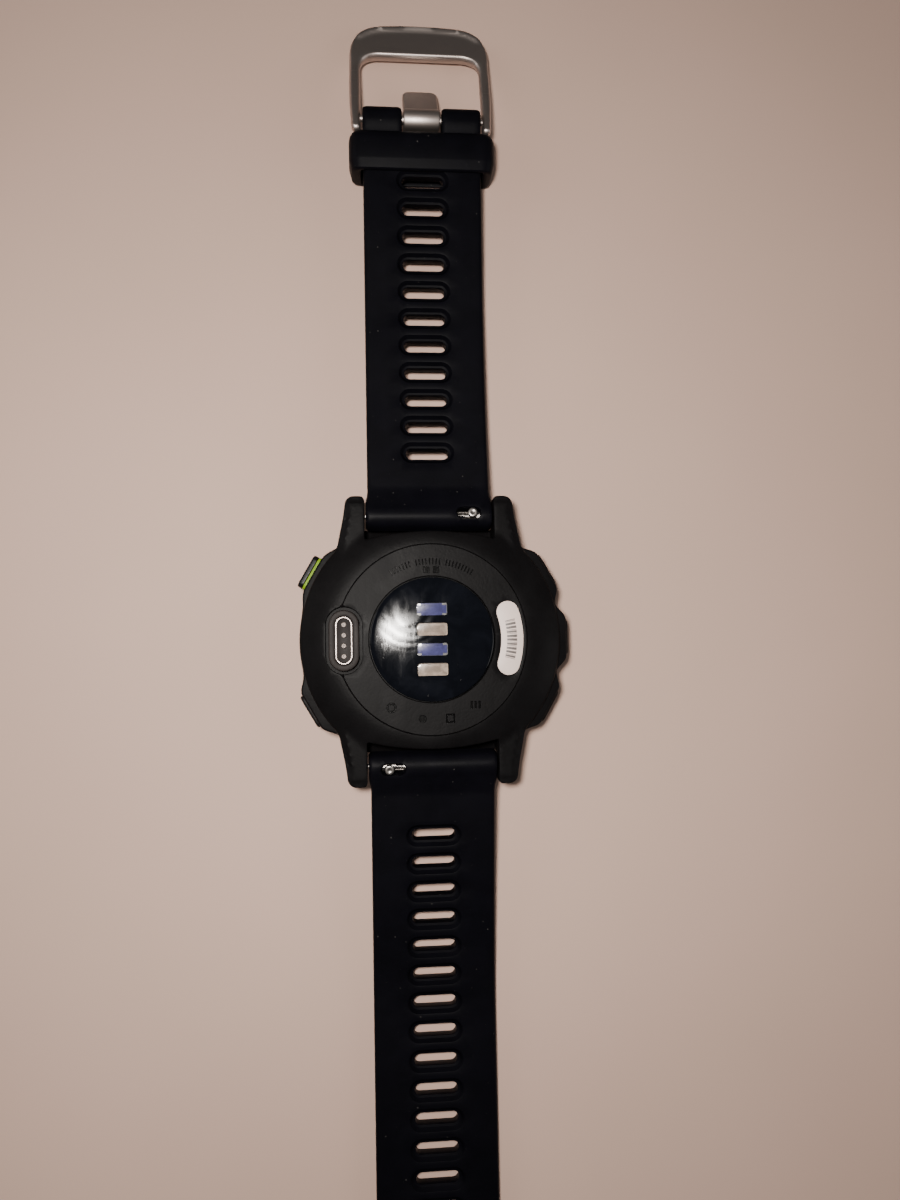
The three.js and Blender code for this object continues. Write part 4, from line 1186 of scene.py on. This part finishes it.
def front_glass(count):
    """The display glass, flat in front and with a softened rim."""
    body = Body()
    profile = [(0, 0), (5, 0), (10, 0), (15.15, 0), (15.25, 0.03), (15.35, 0.1), (15.4, 0.2),
               (15.4, 1.22), (15.34, 1.3), (0, 1.3)]
    lathe(body, profile, count)
    return body


def sensor_window(sizes):
    """The domed window with a narrow polished bevel round its rim."""
    low, high = node_box("sensor_window")
    radius = (high - low)[0] / 2
    rim = high[2] - sizes.dome_rise
    body = Body()
    profile = [(0, low[2]), (radius - 0.1, low[2]), (radius, low[2] + 0.1), (radius, rim - 0.16),
               (radius - 0.05, rim - 0.07), (radius - 0.2, rim + 0.02)]
    steps = 18
    start = 1 - 0.2 / radius
    for i in range(1, steps):
        t = start * (1 - i / steps)
        profile.append((radius * t, rim + sizes.dome_rise * (1 - t * t)))
    profile.append((0, high[2]))
    lathe(body, profile, sizes.segments)
    return body


def port_panel():
    """The dark panel of the port, sunk inside its rim, with a shallow seat for its rim and
    contacts.
    """
    body = Body()
    outer = port_stadium(*PORT_PANEL)
    loops = [[(x, y, PORT_FLOOR_Z) for x, y in outer]]
    made = body.stack(loops + soft_edge(outer, PANEL_TOP, 0.16, 3))
    body.cap(made[0])
    length, width = PORT_SEAT
    seat_outline = lambda grow: port_stadium(length + 2 * grow, width + 2 * grow)
    seat = recess(body, seat_outline, lambda x, y: PANEL_TOP, 10.25, 0.05)
    body.field(made[-1], [seat])
    return body


def port_rim():
    """The plated rim that stands round the contacts."""
    body = Body()
    length, width = PORT_RIM
    outline = lambda inset: port_stadium(length - 2 * inset, width - 2 * inset)
    low, high, wall = 10.26, 10.72, 0.4
    section = [(0.0, low), (0.0, high - 0.14), (0.04, high - 0.05), (0.12, high),
               (wall - 0.12, high), (wall - 0.04, high - 0.05), (wall, high - 0.14), (wall, low)]
    loops = body.stack([[(x, y, h) for x, y in outline(inset)] for inset, h in section])
    body.strip(loops[-1], loops[0])
    return body


def contact_pin(y):
    """One charging contact with a dished tip, at a place along the port."""
    body = Body(lambda u, v, h: (u + PORT_X, v + y, h))
    profile = [(0, 9.75), (0.42, 9.75), (0.42, 10.34), (0.4, 10.4), (0.33, 10.44), (0.18, 10.45),
               (0.14, 10.43), (0, 10.42)]
    lathe(body, profile, 32)
    return body


# ------------------------------------------------------------------ buttons


def button_cap(name, front, proud, back, neck):
    """A button: stem, cap with softly rounded corners and a slightly crowned face."""
    body = Body(radial(BUTTON_ANGLES[name]))
    outline = rounded_box(*BUTTON_SIZE, 8, 0.6)
    step = inward(outline)
    top = front + proud
    turn = [math.atan2(v, u) for u, v in outline]
    stem = lambda h: [(STEM_RADIUS * math.cos(a), STEM_RADIUS * math.sin(a), h) for a in turn]
    loops = [stem(STEM_END), stem(back)]
    loops += [[(u, v, back) for u, v in moved(outline, step, 0.15)]]
    loops += [[(u, v, back + 0.15) for u, v in outline]]
    if neck:
        low, high = neck
        groove = (
            (0.0, low - 0.04), (0.5, low), (0.5, high), (0.1, high + 0.01), (0.0, high + 0.1),
        )
        for distance, h in groove:
            loops.append([(u, v, h) for u, v in moved(outline, step, distance)])
    loops += soft_edge(outline, top, BUTTON_ROUND, 4)
    inner = [p[:2] for p in loops[-1]]
    for share in (0.75, 0.45, 0.18):
        rise = BUTTON_CROWN * (1 - share**2)
        loops.append([(u * share, v * share, top + rise) for u, v in inner])
    made = body.stack(loops)
    body.cap(made[0])
    body.fan(made[-1], (0, 0, top + BUTTON_CROWN))
    return body


def collar(name, low, high):
    """The bright band under the start button's cap."""
    body = Body(radial(BUTTON_ANGLES[name]))
    outline = rounded_box(*BUTTON_SIZE, 8, 0.6)
    step = inward(outline)
    section = [(0.42, low), (0.12, low), (0.02, low + 0.05), (-0.03, (low + high) / 2),
               (0.02, high - 0.05), (0.12, high), (0.42, high)]
    loops = body.stack([[(u, v, h) for u, v in moved(outline, step, d)] for d, h in section])
    body.strip(loops[-1], loops[0])
    return body


def button_well(name, front):
    """What a boss leaves open round its button."""
    body = Body(radial(BUTTON_ANGLES[name]))
    slab(body, rounded_box(*BUTTON_WELL, 8), front - 1.5, front + 3, 0.05)
    return body


# ------------------------------------------------------------------ straps


class Path:
    """The centre line of a strap: the distance from the bar gives place and slope."""

    def __init__(self, pivot, corners, tail_slope, length, reach, side):
        start = joint_place(pivot)
        knots = [start, *corners]
        slopes = [math.atan2(b[1] - a[1], b[0] - a[0]) for a, b in zip(knots, knots[1:])]
        slopes += [math.radians(tail_slope)] if tail_slope is not None else []
        at = np.cumsum([math.dist(a, b) for a, b in zip(knots, knots[1:])])
        self.bends = at[: len(slopes) - 1]
        self.side = side
        self.s = np.arange(-3.0, length + 3.0, 0.1)
        self.slope = np.full(len(self.s), slopes[0])
        for bend, before, after in zip(self.bends, slopes, slopes[1:]):
            t = np.clip((self.s - bend + reach) / (2 * reach), 0, 1)
            self.slope += (after - before) * t * t * (3 - 2 * t)
        step = np.diff(self.s)
        middle = (self.slope[1:] + self.slope[:-1]) / 2
        self.y = np.concatenate([[0], np.cumsum(np.cos(middle) * step)])
        self.z = np.concatenate([[0], np.cumsum(np.sin(middle) * step)])
        self.y += start[0] - np.interp(0, self.s, self.y)
        self.z += start[1] - np.interp(0, self.s, self.z)

    def at(self, s):
        return (float(np.interp(s, self.s, a)) for a in (self.y, self.z, self.slope))

    def place(self, x, s, h):
        y, z, slope = self.at(s)
        y -= h * math.sin(slope)
        z += h * math.cos(slope)
        return (x * self.side, y * self.side, z)

    def world(self, s):
        return Vector(self.place(0, s, 0)) * MM


STRAP_HALF = 9.8
THICK_HALF = 1.3
BARREL = 2.4
KNUCKLE = 1.9
ROOT_FLARE = 0.3
SHORT_PIN = 67.0
SLOT_PITCH = 4.6
KNOB_X = 6.9
KEEPER_AT = 61.0
FRAME_DROOP = -14.1
TONGUE_DROOP = -31.0

# Distances along a strap, from its bar, at which it is parted into lengths.
SHORT_CUTS = (26.5,)
LONG_CUTS = (27.3, 45.7, 64.1, 82.5)
SHORT_FIRST_SLOT = 10.4
LONG_FIRST_SLOT = 11.2
LONG_END = 109.6


def strap_half_thickness(s, pin):
    """Half the strap's thickness: barrel at the bar, plain band, knuckle at the pin."""
    half = THICK_HALF
    if s < 5.6:
        barrel = math.sqrt(max(0.0, BARREL**2 - s * s))
        neck = THICK_HALF + 0.95 * (1 - smooth((s + 0.2) / 5.4))
        half = barrel if s < 0 else max(THICK_HALF, smooth_max(barrel, neck, 0.2) - 0.05)
        if 0 <= s < 1.2:
            half = min(half, BARREL)
    if pin is not None and s > pin - 4:
        knuckle = math.sqrt(max(0.0, KNUCKLE**2 - (s - pin) ** 2))
        if s > pin:
            return knuckle
        swell = THICK_HALF + (KNUCKLE - THICK_HALF) * smooth((s - pin + 3.2) / 2.6)
        half = max(swell, knuckle)
    return half


def strap_piece(path, start, end, first_slot, slots, sizes, root, pin, tip):
    """One length of strap with its slots, from start to end along the path."""
    thickness = lambda s: strap_half_thickness(s, pin)
    half = STRAP_HALF
    corners = [(half, start), (half, end), (-half, end), (-half, start)]
    if root:
        flared = half + ROOT_FLARE
        corners[0] = (flared, start, 1.05)
        corners[3] = (-flared, start, 1.05)
        corners[1:1] = [(flared, 2.0, 1.2), (half, 3.4, 1.2)]
        corners[-1:-1] = [(-half, 3.4, 1.2), (-flared, 2.0, 1.2)]
    if tip:
        corners[1] = (half, end, half * 0.97)
        corners[2] = (-half, end, half * 0.97)
    if pin is not None:
        gap, notch = 3.3, pin - KNUCKLE - 1.2
        corners[1:3] = [
            (half, end, 1.0), (gap, end, 1.0), (gap, notch, 0.7),
            (-gap, notch, 0.7), (-gap, end, 1.0), (-half, end, 1.0),
        ]
    outline = spaced(rounded(corners, 16 if tip else 6), 1.0)
    step = inward(outline)
    # An end that meets the next length keeps its flat face, so its points move in x alone.
    flat_start, flat_end = not root, not tip and pin is None
    for i, (x, s) in enumerate(outline):
        on_start = abs(s - start) < 1e-3 and flat_start
        on_end = abs(s - end) < 1e-3 and flat_end
        if on_start or on_end:
            step[i] = Vector((-x / half, 0.0))
    size = sizes.edge_round
    body = Body(path.place)
    loops = []
    for sign in (-1, 1):
        levels = quarter_round(size, 5)
        for distance, drop in levels if sign > 0 else reversed(levels):
            edge = moved(outline, step, distance)
            loop = []
            for x, s in edge:
                h = max(0.03, thickness(s) - drop)
                loop.append((x, s, sign * h))
            loops.append(loop)
    made = body.stack(loops)
    tops, bottoms = [], []
    for k in range(slots):
        rims = slot_loops(first_slot + k * SLOT_PITCH, sizes.slot_round)
        through = body.stack(rims)
        tops.append(through[0])
        bottoms.append(through[-1])
    if root:
        tops.append(knob_window(body, thickness))
    coarse, fine = np.arange(-8.6, 8.7, 2.15), np.arange(-8.6, 8.7, 1.075)
    grid = [(x, s) for x in coarse for s in np.arange(start + 0.5, end, sizes.grid)]
    if root:
        grid = [p for p in grid if p[1] > 6.2]
        grid += [(x, s) for s in np.arange(start + 0.8, 6.2, 0.4) for x in fine]
    if pin is not None:
        grid += [(x, s) for s in np.arange(pin - 3.3, end, 0.35) for x in fine]
    body.field(made[-1], tops, grid, lambda x, s: thickness(s), 0.3)
    body.field(made[0], bottoms, grid, lambda x, s: -thickness(s), 0.3)
    return body


def slot_loops(s, size):
    """A slot from the wrist side to the face side: sunk lip, sloped recess, through slot."""
    top, low = THICK_HALF, -THICK_HALF
    levels = [
        (8.6 + 2 * size, 3.4 + 2 * size, top),
        (8.6 + 0.9 * size, 3.4 + 0.9 * size, top - size * 0.2),
        (8.6, 3.4, top - size),
        (7.86, 2.66, top - 0.6),
        (7.74, 2.54, top - 0.68),
        (7.6, 2.44, top - 0.7),
        (7.12, 2.07, top - 0.7),
        (6.98, 1.93, top - 0.73),
        (6.9, 1.85, top - 0.84),
        (6.9, 1.85, low + size),
        (6.9 + 0.9 * size, 1.85 + 0.9 * size, low + size * 0.2),
        (6.9 + 2 * size, 1.85 + 2 * size, low),
    ]
    return [[(x, s + v, h) for x, v in stadium(a, b, 12)] for a, b, h in levels]


def knob_window(body, thickness):
    """The window in the root that lets the quick-release knob slide."""
    middle = 6.28
    outline = spaced(stadium(3.9, 2.0, 12), 0.4)
    step = inward(outline)
    loops = []
    for grow, drop in ((0.16, 0.0), (0.05, 0.05), (0.0, 0.16)):
        edge = moved(outline, step, -grow)
        loops.append([(middle + u, v, thickness(v) - drop) for u, v in edge])
    loops.append([(middle + u, v, -0.5) for u, v in outline])
    made = body.stack(loops)
    body.cap(made[-1])
    return made[0]


def keeper_body(path):
    """The keeper loop: a rounded ring whose case-side edge is chamfered."""
    in_x, layers, wall, side_wall = 10.1, 5.3, 1.15, 2.0
    top = THICK_HALF + 0.12
    body = Body(lambda u, v, h: path.place(u, KEEPER_AT + h, top - layers / 2 + v))
    outer = rounded_box(2 * (in_x + side_wall), layers + 2 * wall, 2.4, 10)
    inner = rounded_box(2 * in_x, layers, 0.7, 10)
    out_step, in_step = inward(outer), inward(inner)
    half = 3.25
    outside = [
        (0.85, -half), (0.62, -half + 0.06), (0.42, -half + 0.25), (0.07, -half + 1.55),
        (0.0, -half + 1.85), (0.0, half - 1.7), (0.05, half - 1.2), (0.19, half - 0.75),
        (0.42, half - 0.36), (0.68, half - 0.12), (0.95, half),
    ]
    inside = [(-0.2, half), (-0.06, half - 0.06), (0.0, half - 0.2), (0.0, -half + 0.2),
              (-0.06, -half + 0.06), (-0.2, -half)]
    loops = [[(u, v, h) for u, v in moved(outer, out_step, d)] for d, h in outside]
    loops += [[(u, v, h) for u, v in moved(inner, in_step, d)] for d, h in inside]
    made = body.stack(loops)
    body.strip(made[-1], made[0])
    return body


def pin_place(droop):
    """Places (x, along, height) from the buckle pin outwards at a slope."""
    y, z = joint_place("buckle_frame_hinge")
    c, s = math.cos(math.radians(droop)), math.sin(math.radians(droop))
    return lambda u, v, h: (u, y + v * c - h * s, z + v * s + h * c)


def buckle_frame_body():
    """The buckle frame: two slim arms into a broad crowned outer bar."""
    near, far, inner, reach, bar = 11.6, 11.95, 10.1, 19.0, 5.9
    heel, bar_in = -2.5, reach - bar
    corners = [
        (near, heel, 0.73), (far, 4.0, 3.0), (far - 0.15, reach - 0.1, 5.8), (0, reach + 0.8, 5.6),
        (-far + 0.15, reach - 0.1, 5.8), (-far, 4.0, 3.0), (-near, heel, 0.73),
        (-inner, heel, 0.73), (-inner, bar_in, 3.4), (inner, bar_in, 3.4), (inner, heel, 0.73),
    ]
    outline = spaced(rounded(corners, 14), 0.5)
    step = inward(outline)
    body = Body(pin_place(FRAME_DROOP))
    middle = bar_in + bar / 2

    def rise(distance, v):
        """Half the thickness: soft arms, a crisp inner edge and a raised outer rim."""
        inner_edge = smooth((v - bar_in + 1.5) / 1.5) * (1 - smooth((v - middle) / 1.2))
        size = 0.75 - 0.35 * inner_edge
        edge = math.sqrt(max(0.0, 1 - (1 - min(distance / size, 1)) ** 2))
        rim = smooth((v - middle) / 1.2) * smooth((1.6 - distance) / 0.9)
        return edge * (0.86 + 0.44 * rim)

    levels = [0.0, 0.02, 0.08, 0.18, 0.3, 0.44]
    loops = []
    for sign in (-1, 1):
        for distance in levels[1:] if sign > 0 else reversed(levels):
            edge = moved(outline, step, distance)
            loops.append([(x, v, sign * rise(distance, v)) for x, v in edge])
    made = body.stack(loops)
    grid = hex_grid((-12, bar_in - 3.6), (12, reach + 0.6), 0.45)
    gap, _ = distance_to_outline(grid, outline)
    heights = {point: rise(float(g), point[1]) for point, g in zip(grid, gap)}
    body.field(made[-1], (), grid, lambda x, v: heights[(x, v)], 0.2)
    body.field(made[0], (), grid, lambda x, v: -heights[(x, v)], 0.2)
    return body


def tongue_body():
    """The tongue: a rounded plate that wraps round the pin."""
    body = Body(pin_place(TONGUE_DROOP))
    width, length, thick = 6.0, 8.3, 1.3
    half = width / 2
    corners = [(half, 0.9, 0.2), (half, length, 1.5), (-half, length, 1.5), (-half, 0.9, 0.2)]
    outline = spaced(rounded(corners, 8), 0.6)
    slab(body, outline, -thick / 2, thick / 2, 0.42, 5)
    outer, inner = 1.72, 0.87
    section = [(inner, -half + 0.06), (inner + 0.06, -half), (outer - 0.28, -half),
               (outer - 0.08, -half + 0.08), (outer, -half + 0.28), (outer, half - 0.28),
               (outer - 0.08, half - 0.08), (outer - 0.28, half), (inner + 0.06, half),
               (inner, half - 0.06)]
    count = 48
    loops = []
    for radius, x in section:
        loops.append([(x, v, h) for v, h in circle(radius, count)])
    made = body.stack(loops)
    body.strip(made[-1], made[0])
    return body


def buckle_pin_body():
    """The buckle's pin, turned thinner at both ends."""
    place = pin_place(0.0)
    body = Body(lambda u, v, h: place(h, v, u))
    profile = [(0, -11.0), (0.4, -11.0), (0.5, -10.9), (0.5, -9.9), (0.7, -9.9), (0.75, -9.84),
               (0.75, 9.84), (0.7, 9.9), (0.5, 9.9), (0.5, 10.9), (0.4, 11.0), (0, 11.0)]
    lathe(body, profile, 32)
    return body


def plunger_body(path):
    """The quick-release plunger: tip, rod and the knob that stands out of the strap."""
    body = Body(lambda u, v, h: path.place(h, v, u))
    rod = [(0, 5.8), (0.44, 5.8), (0.5, 5.86), (0.5, 9.1), (0.42, 9.2), (0.42, 11.15),
           (0.34, 11.27), (0.2, 11.3), (0, 11.3)]
    lathe(body, rod, 28)
    knob = Body(lambda u, v, h: path.place(KNOB_X + u, v, h))
    profile = [(0, 0.1), (0.45, 0.1), (0.45, 1.65), (0.6, 1.66), (0.7, 1.74), (0.72, 1.85),
               (0.72, 2.38), (0.68, 2.46), (0.58, 2.5), (0.3, 2.5), (0.24, 2.46), (0, 2.45)]
    lathe(knob, profile, 32)
    offset = len(body.points)
    plain = [body.place(*p) for p in body.points] + [knob.place(*p) for p in knob.points]
    both = Body()
    both.points = plain
    both.faces = body.faces + [tuple(i + offset for i in face) for face in knob.faces]
    return both


# ------------------------------------------------------------------ operators


class WATCH_OT_materials(bpy.types.Operator):
    """Make every finish of the watch"""

    bl_idname = "watch.materials"
    bl_label = "Materials"

    def execute(self, context):
        make_materials(context.scene.watch_colours)
        return {"FINISHED"}


class WATCH_OT_case(bpy.types.Operator):
    """Build the case shells, the bezel and the display glass"""

    bl_idname = "watch.case"
    bl_label = "Case and Glass"

    def execute(self, context):
        sizes = context.scene.watch_case
        place_piece("back_shell", back_shell(sizes), "back", "case", ["back_case"], 24)
        shell = mid_shell(sizes)
        shell = place_piece("mid_shell", shell, "polymer", "case", ["mid_case"])
        wells = []
        for name in BUTTON_ANGLES:
            front = COLLARED_BOSS_RADIUS if name == "start" else BOSS_RADIUS
            wells.append(button_well(name, front))
        carve(shell, wells)
        bezel = bezel_ring(sizes.segments)
        place_piece("bezel_ring", bezel, "polymer", "case", ["bezel"])
        glass = front_glass(sizes.segments)
        place_piece("display_cover", glass, "glass", "case", ["front_glass"])
        return {"FINISHED"}


class WATCH_OT_sensor(bpy.types.Operator):
    """Build the sensor window over its chips"""

    bl_idname = "watch.sensor"
    bl_label = "Optical Sensor"

    def execute(self, context):
        window = sensor_window(context.scene.watch_case)
        place_piece("sensor_dome", window, "window", "case", ["sensor_window"])
        for name in CHIPS:
            low, high = node_box(name)
            body = Body(lambda u, v, h, m=(low + high) / 2: (u + m[0], v + m[1], h))
            outline = rounded_box(high[0] - low[0], high[1] - low[1], 0.3, 5)
            slab(body, outline, low[2], high[2], 0.07, 3)
            place_piece(name + "_chip", body, name, "case", [name])
        return {"FINISHED"}


class WATCH_OT_port(bpy.types.Operator):
    """Build the charging port and the label"""

    bl_idname = "watch.port"
    bl_label = "Port and Label"

    def execute(self, context):
        place_piece("port_panel", port_panel(), "panel", "case", ["charge_port"])
        place_piece("port_ring", port_rim(), "port", "case", ["port_rim"])
        for i in range(1, 5):
            node = f"charge_contact_{i}"
            low, high = node_box(node)
            pin = contact_pin((low[1] + high[1]) / 2)
            place_piece(f"contact_{i}", pin, "contact", "case", [node])
        low, high = node_box("serial_label")
        body = Body()
        slab(body, label_outline(0.0), low[2], high[2], 0.03, 2)
        place_piece("label_film", body, "label", "case", ["serial_label"])
        return {"FINISHED"}


class WATCH_OT_buttons(bpy.types.Operator):
    """Build the five push buttons and the start button's collar"""

    bl_idname = "watch.buttons"
    bl_label = "Buttons"

    def execute(self, context):
        for name in BUTTON_ANGLES:
            collared = name == "start"
            front = COLLARED_BOSS_RADIUS if collared else BOSS_RADIUS
            back = front - 0.75
            proud = 1.5 if collared else 0.65
            neck = (front - 0.05, front + 0.58) if collared else None
            cap = button_cap(name, front, proud - BUTTON_CROWN, back, neck)
            node = name + "_button"
            place_piece(name + "_cap", cap, "button", node, [node])
            if collared:
                band = collar(name, front - 0.03, front + 0.56)
                ring = [node + "_collar"]
                place_piece(name + "_collar", band, "lime", node, ring)
        return {"FINISHED"}


class WATCH_OT_works(bpy.types.Operator):
    """Finish the hidden works, the seals and the fixed parts of the spring bars"""

    bl_idname = "watch.works"
    bl_label = "Works and Seals"

    def execute(self, context):
        finishes = {
            "battery": "cell", "vibration_motor": "cell", "main_board": "board",
            "sensor_board": "board", "motor_rotor": "copper", "buzzer": "copper",
            "gps_antenna": "copper", "button_flex_left": "copper", "button_flex_right": "copper",
            "inner_frame": "inner", "display_module": "inner", "case_gasket": "rubber",
            "glass_gasket": "rubber",
        }
        finishes.update({name + "_button_seal": "rubber" for name in BUTTON_ANGLES})
        for bar in ("bar_short", "bar_long"):
            finishes[bar + "_tube"] = "bar"
            finishes[bar + "_spring"] = "bar"
        for name, material in finishes.items():
            carry(name, material, 0.0 if name.endswith("_spring") else 0.04)
        return {"FINISHED"}


def strap_paths(sizes):
    """Paths of the buckle strap and the long strap."""
    short = [joint_place(f"strap_short_flex_{i}") for i in (1, 2)]
    short.append(joint_place("buckle_frame_hinge"))
    long = [joint_place(f"strap_long_flex_{i}") for i in range(1, 6)]
    return (
        Path("strap_short_pivot", short, None, SHORT_PIN + 4, sizes.bend_reach - 1, 1),
        Path("strap_long_pivot", long, 4.5, LONG_END + 2, sizes.bend_reach - 1, -1),
    )


class WATCH_OT_straps(bpy.types.Operator):
    """Build both straps as lengths shaped along paths through the frame's strap joints"""

    bl_idname = "watch.straps"
    bl_label = "Straps"

    def execute(self, context):
        sizes = context.scene.watch_strap
        short, long = strap_paths(sizes)
        plans = [
            ("strap_short", short, SHORT_CUTS, SHORT_FIRST_SLOT, 11, SHORT_PIN + KNUCKLE - 0.02),
            ("strap_long", long, LONG_CUTS, LONG_FIRST_SLOT, 20, LONG_END),
        ]
        for name, path, cuts, first, slots, end in plans:
            limits = [-BARREL + 0.02, *cuts, end]
            for i, (low, high) in enumerate(zip(limits, limits[1:])):
                last = i == len(limits) - 2
                inside = [k for k in range(slots) if low < first + k * SLOT_PITCH < high]
                body = strap_piece(
                    path, low, high, first + inside[0] * SLOT_PITCH, len(inside), sizes,
                    root=i == 0,
                    pin=SHORT_PIN if last and name == "strap_short" else None,
                    tip=last and name == "strap_long",
                )
                nodes = [f"{name}_{i + 1}"] + ([f"{name}_{i + 2}"] if last else [])
                label = f"{name}_length_{i + 1}"
                piece = place_piece(label, body, "silicone", None, nodes, 30)
                bend = path.bends[i]
                reach = sizes.bend_reach
                f"{name}_{i + 1}"
                f"{name}_{i + 2}"
                path.world(bend - reach)
                path.world(bend + reach)
                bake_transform(piece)
        return {"FINISHED"}


class WATCH_OT_keeper(bpy.types.Operator):
    """Build the strap's keeper loop"""

    bl_idname = "watch.keeper"
    bl_label = "Keeper"

    def execute(self, context):
        short, _ = strap_paths(context.scene.watch_strap)
        body = keeper_body(short)
        place_piece("keeper_loop", body, "keeper", "strap_keeper", ["strap_keeper"], 30)
        return {"FINISHED"}


class WATCH_OT_buckle(bpy.types.Operator):
    """Build the buckle frame, its tongue and its pin"""

    bl_idname = "watch.buckle"
    bl_label = "Buckle"

    def execute(self, context):
        place_piece("buckle_loop", buckle_frame_body(), "steel", "buckle_frame",
                    ["buckle_frame"], 45)
        place_piece("buckle_prong", tongue_body(), "steel", "buckle_tongue",
                    ["buckle_tongue"])
        pin = buckle_pin_body()
        place_piece("buckle_axle", pin, "steel", "strap_short_3", ["buckle_pin"])
        return {"FINISHED"}


class WATCH_OT_plungers(bpy.types.Operator):
    """Build the two quick-release plungers with their knobs"""

    bl_idname = "watch.plungers"
    bl_label = "Plungers"

    def execute(self, context):
        for name, path in zip(("bar_short", "bar_long"), strap_paths(context.scene.watch_strap)):
            node = name + "_plunger"
            place_piece(name + "_knob", plunger_body(path), "bar", node, [node])
        return {"FINISHED"}


TABLE_SIDE = 1600.0
TABLE_THICKNESS = 12.0

# The camera's place in metres and its turns in radians.
CAMERA_PLACE = (-0.009871, -0.002273, 0.15075)
CAMERA_PITCH = 0.0592
CAMERA_YAW = 0.0907
CAMERA_ROLL = 0.0186


class WATCH_OT_stage(bpy.types.Operator):
    """Make the table, the lights and the camera"""

    bl_idname = "watch.stage"
    bl_label = "Stage"

    def execute(self, context):
        settings = context.scene.watch_stage
        self.make_floor()
        self.make_lights(settings)
        self.make_camera(settings.lens)
        return {"FINISHED"}

    def make_floor(self):
        """A pale table top under the watch."""
        body = Body()
        outline = rounded_box(TABLE_SIDE, TABLE_SIDE, TABLE_SIDE / 8, 8)
        slab(body, outline, -TABLE_THICKNESS, 0.0, 1.5)
        data = body.mesh("table")
        floor = bpy.data.objects.new("table", data)
        data.materials.append(MATERIALS["floor"])
        data.shade_smooth()
        data.set_sharp_from_angle(angle=math.radians(30))
        bpy.context.scene.collection.objects.link(floor)

    def make_lights(self, settings):
        """One small light beside the camera and two broad soft ones."""
        warm, cool = (1.0, 0.95, 0.89), (1.0, 0.97, 0.94)
        lights = [
            ("flash", (-0.027, 0.011, 0.165), (0.0, 0.0, 0.0), 0.022, settings.flash, warm),
            ("left", (-0.75, 0.20, 0.40), (0.0, 0.0, 0.0), 0.5, settings.fill, cool),
            ("right", (0.75, -0.10, 0.40), (0.0, 0.0, 0.0), 0.5, settings.fill, cool),
        ]
        for name, place, target, size, power, tint in lights:
            data = bpy.data.lights.new(name, "AREA")
            data.shape = "DISK"
            data.size = size
            data.energy = power
            data.color = tint
            lamp = bpy.data.objects.new(name, data)
            lamp.location = place
            aim = Vector(target) - Vector(place)
            lamp.rotation_euler = aim.to_track_quat("-Z", "Y").to_euler()
            bpy.context.scene.collection.objects.link(lamp)
        world = bpy.data.worlds.new("studio")
        world.use_nodes = True
        back = world.node_tree.nodes["Background"]
        back.inputs["Color"].default_value = (1.0, 0.97, 0.94, 1.0)
        back.inputs["Strength"].default_value = settings.sky
        bpy.context.scene.world = world

    def make_camera(self, lens):
        """The camera, looking down on the back of the watch."""
        data = bpy.data.cameras.new("camera")
        data.lens = lens
        data.sensor_width = 36.0
        data.clip_start = 0.005
        data.clip_end = 20.0
        view = Vector((
            math.sin(CAMERA_YAW) * math.cos(CAMERA_PITCH),
            math.sin(CAMERA_PITCH),
            -math.cos(CAMERA_PITCH) * math.cos(CAMERA_YAW),
        )).normalized()
        rolled = Vector((math.sin(CAMERA_ROLL), math.cos(CAMERA_ROLL), 0.0))
        right = view.cross(rolled).normalized()
        up = right.cross(view)
        turn = Matrix((right, up, -view)).transposed()
        camera = bpy.data.objects.new("camera", data)
        camera.location = CAMERA_PLACE
        camera.rotation_mode = "QUATERNION"
        camera.rotation_quaternion = turn.to_quaternion()
        bpy.context.scene.collection.objects.link(camera)
        bpy.context.scene.camera = camera


OPERATORS = (
    WATCH_OT_materials,
    WATCH_OT_stage,
    WATCH_OT_case,
    WATCH_OT_sensor,
    WATCH_OT_port,
    WATCH_OT_buttons,
    WATCH_OT_works,
    WATCH_OT_straps,
    WATCH_OT_keeper,
    WATCH_OT_buckle,
    WATCH_OT_plungers,
)


class WATCH_PT_looks(bpy.types.Panel):
    """Lists the watch's operators and settings"""

    bl_label = "Running Watch"
    bl_idname = "WATCH_PT_looks"
    bl_space_type = "VIEW_3D"
    bl_region_type = "UI"
    bl_category = "Watch"

    def draw(self, context):
        for operator in OPERATORS:
            self.layout.operator(operator.bl_idname)
        for group in GROUPS:
            settings = getattr(context.scene, group)
            for name in settings.__annotations__:
                self.layout.prop(settings, name)


GROUPS = {
    "watch_case": WatchCaseSizes,
    "watch_strap": WatchStrapSizes,
    "watch_colours": WatchColours,
    "watch_stage": WatchStage,
}


def register():
    """Registers the classes and hangs the settings on the scene."""
    for group in GROUPS.values():
        bpy.utils.register_class(group)
    for name, group in GROUPS.items():
        setattr(bpy.types.Scene, name, PointerProperty(type=group))
    for item in (*OPERATORS, WATCH_PT_looks):
        bpy.utils.register_class(item)


def unregister():
    """Takes the settings and the classes away again."""
    for item in reversed((*OPERATORS, WATCH_PT_looks)):
        bpy.utils.unregister_class(item)
    for name in GROUPS:
        delattr(bpy.types.Scene, name)
    for group in reversed(list(GROUPS.values())):
        bpy.utils.unregister_class(group)


def main():
    """Builds the watch."""
    register()
    for operator in OPERATORS:
        _, name = operator.bl_idname.split(".")
        getattr(bpy.ops.watch, name)()


if __name__ == "__main__":
    main()
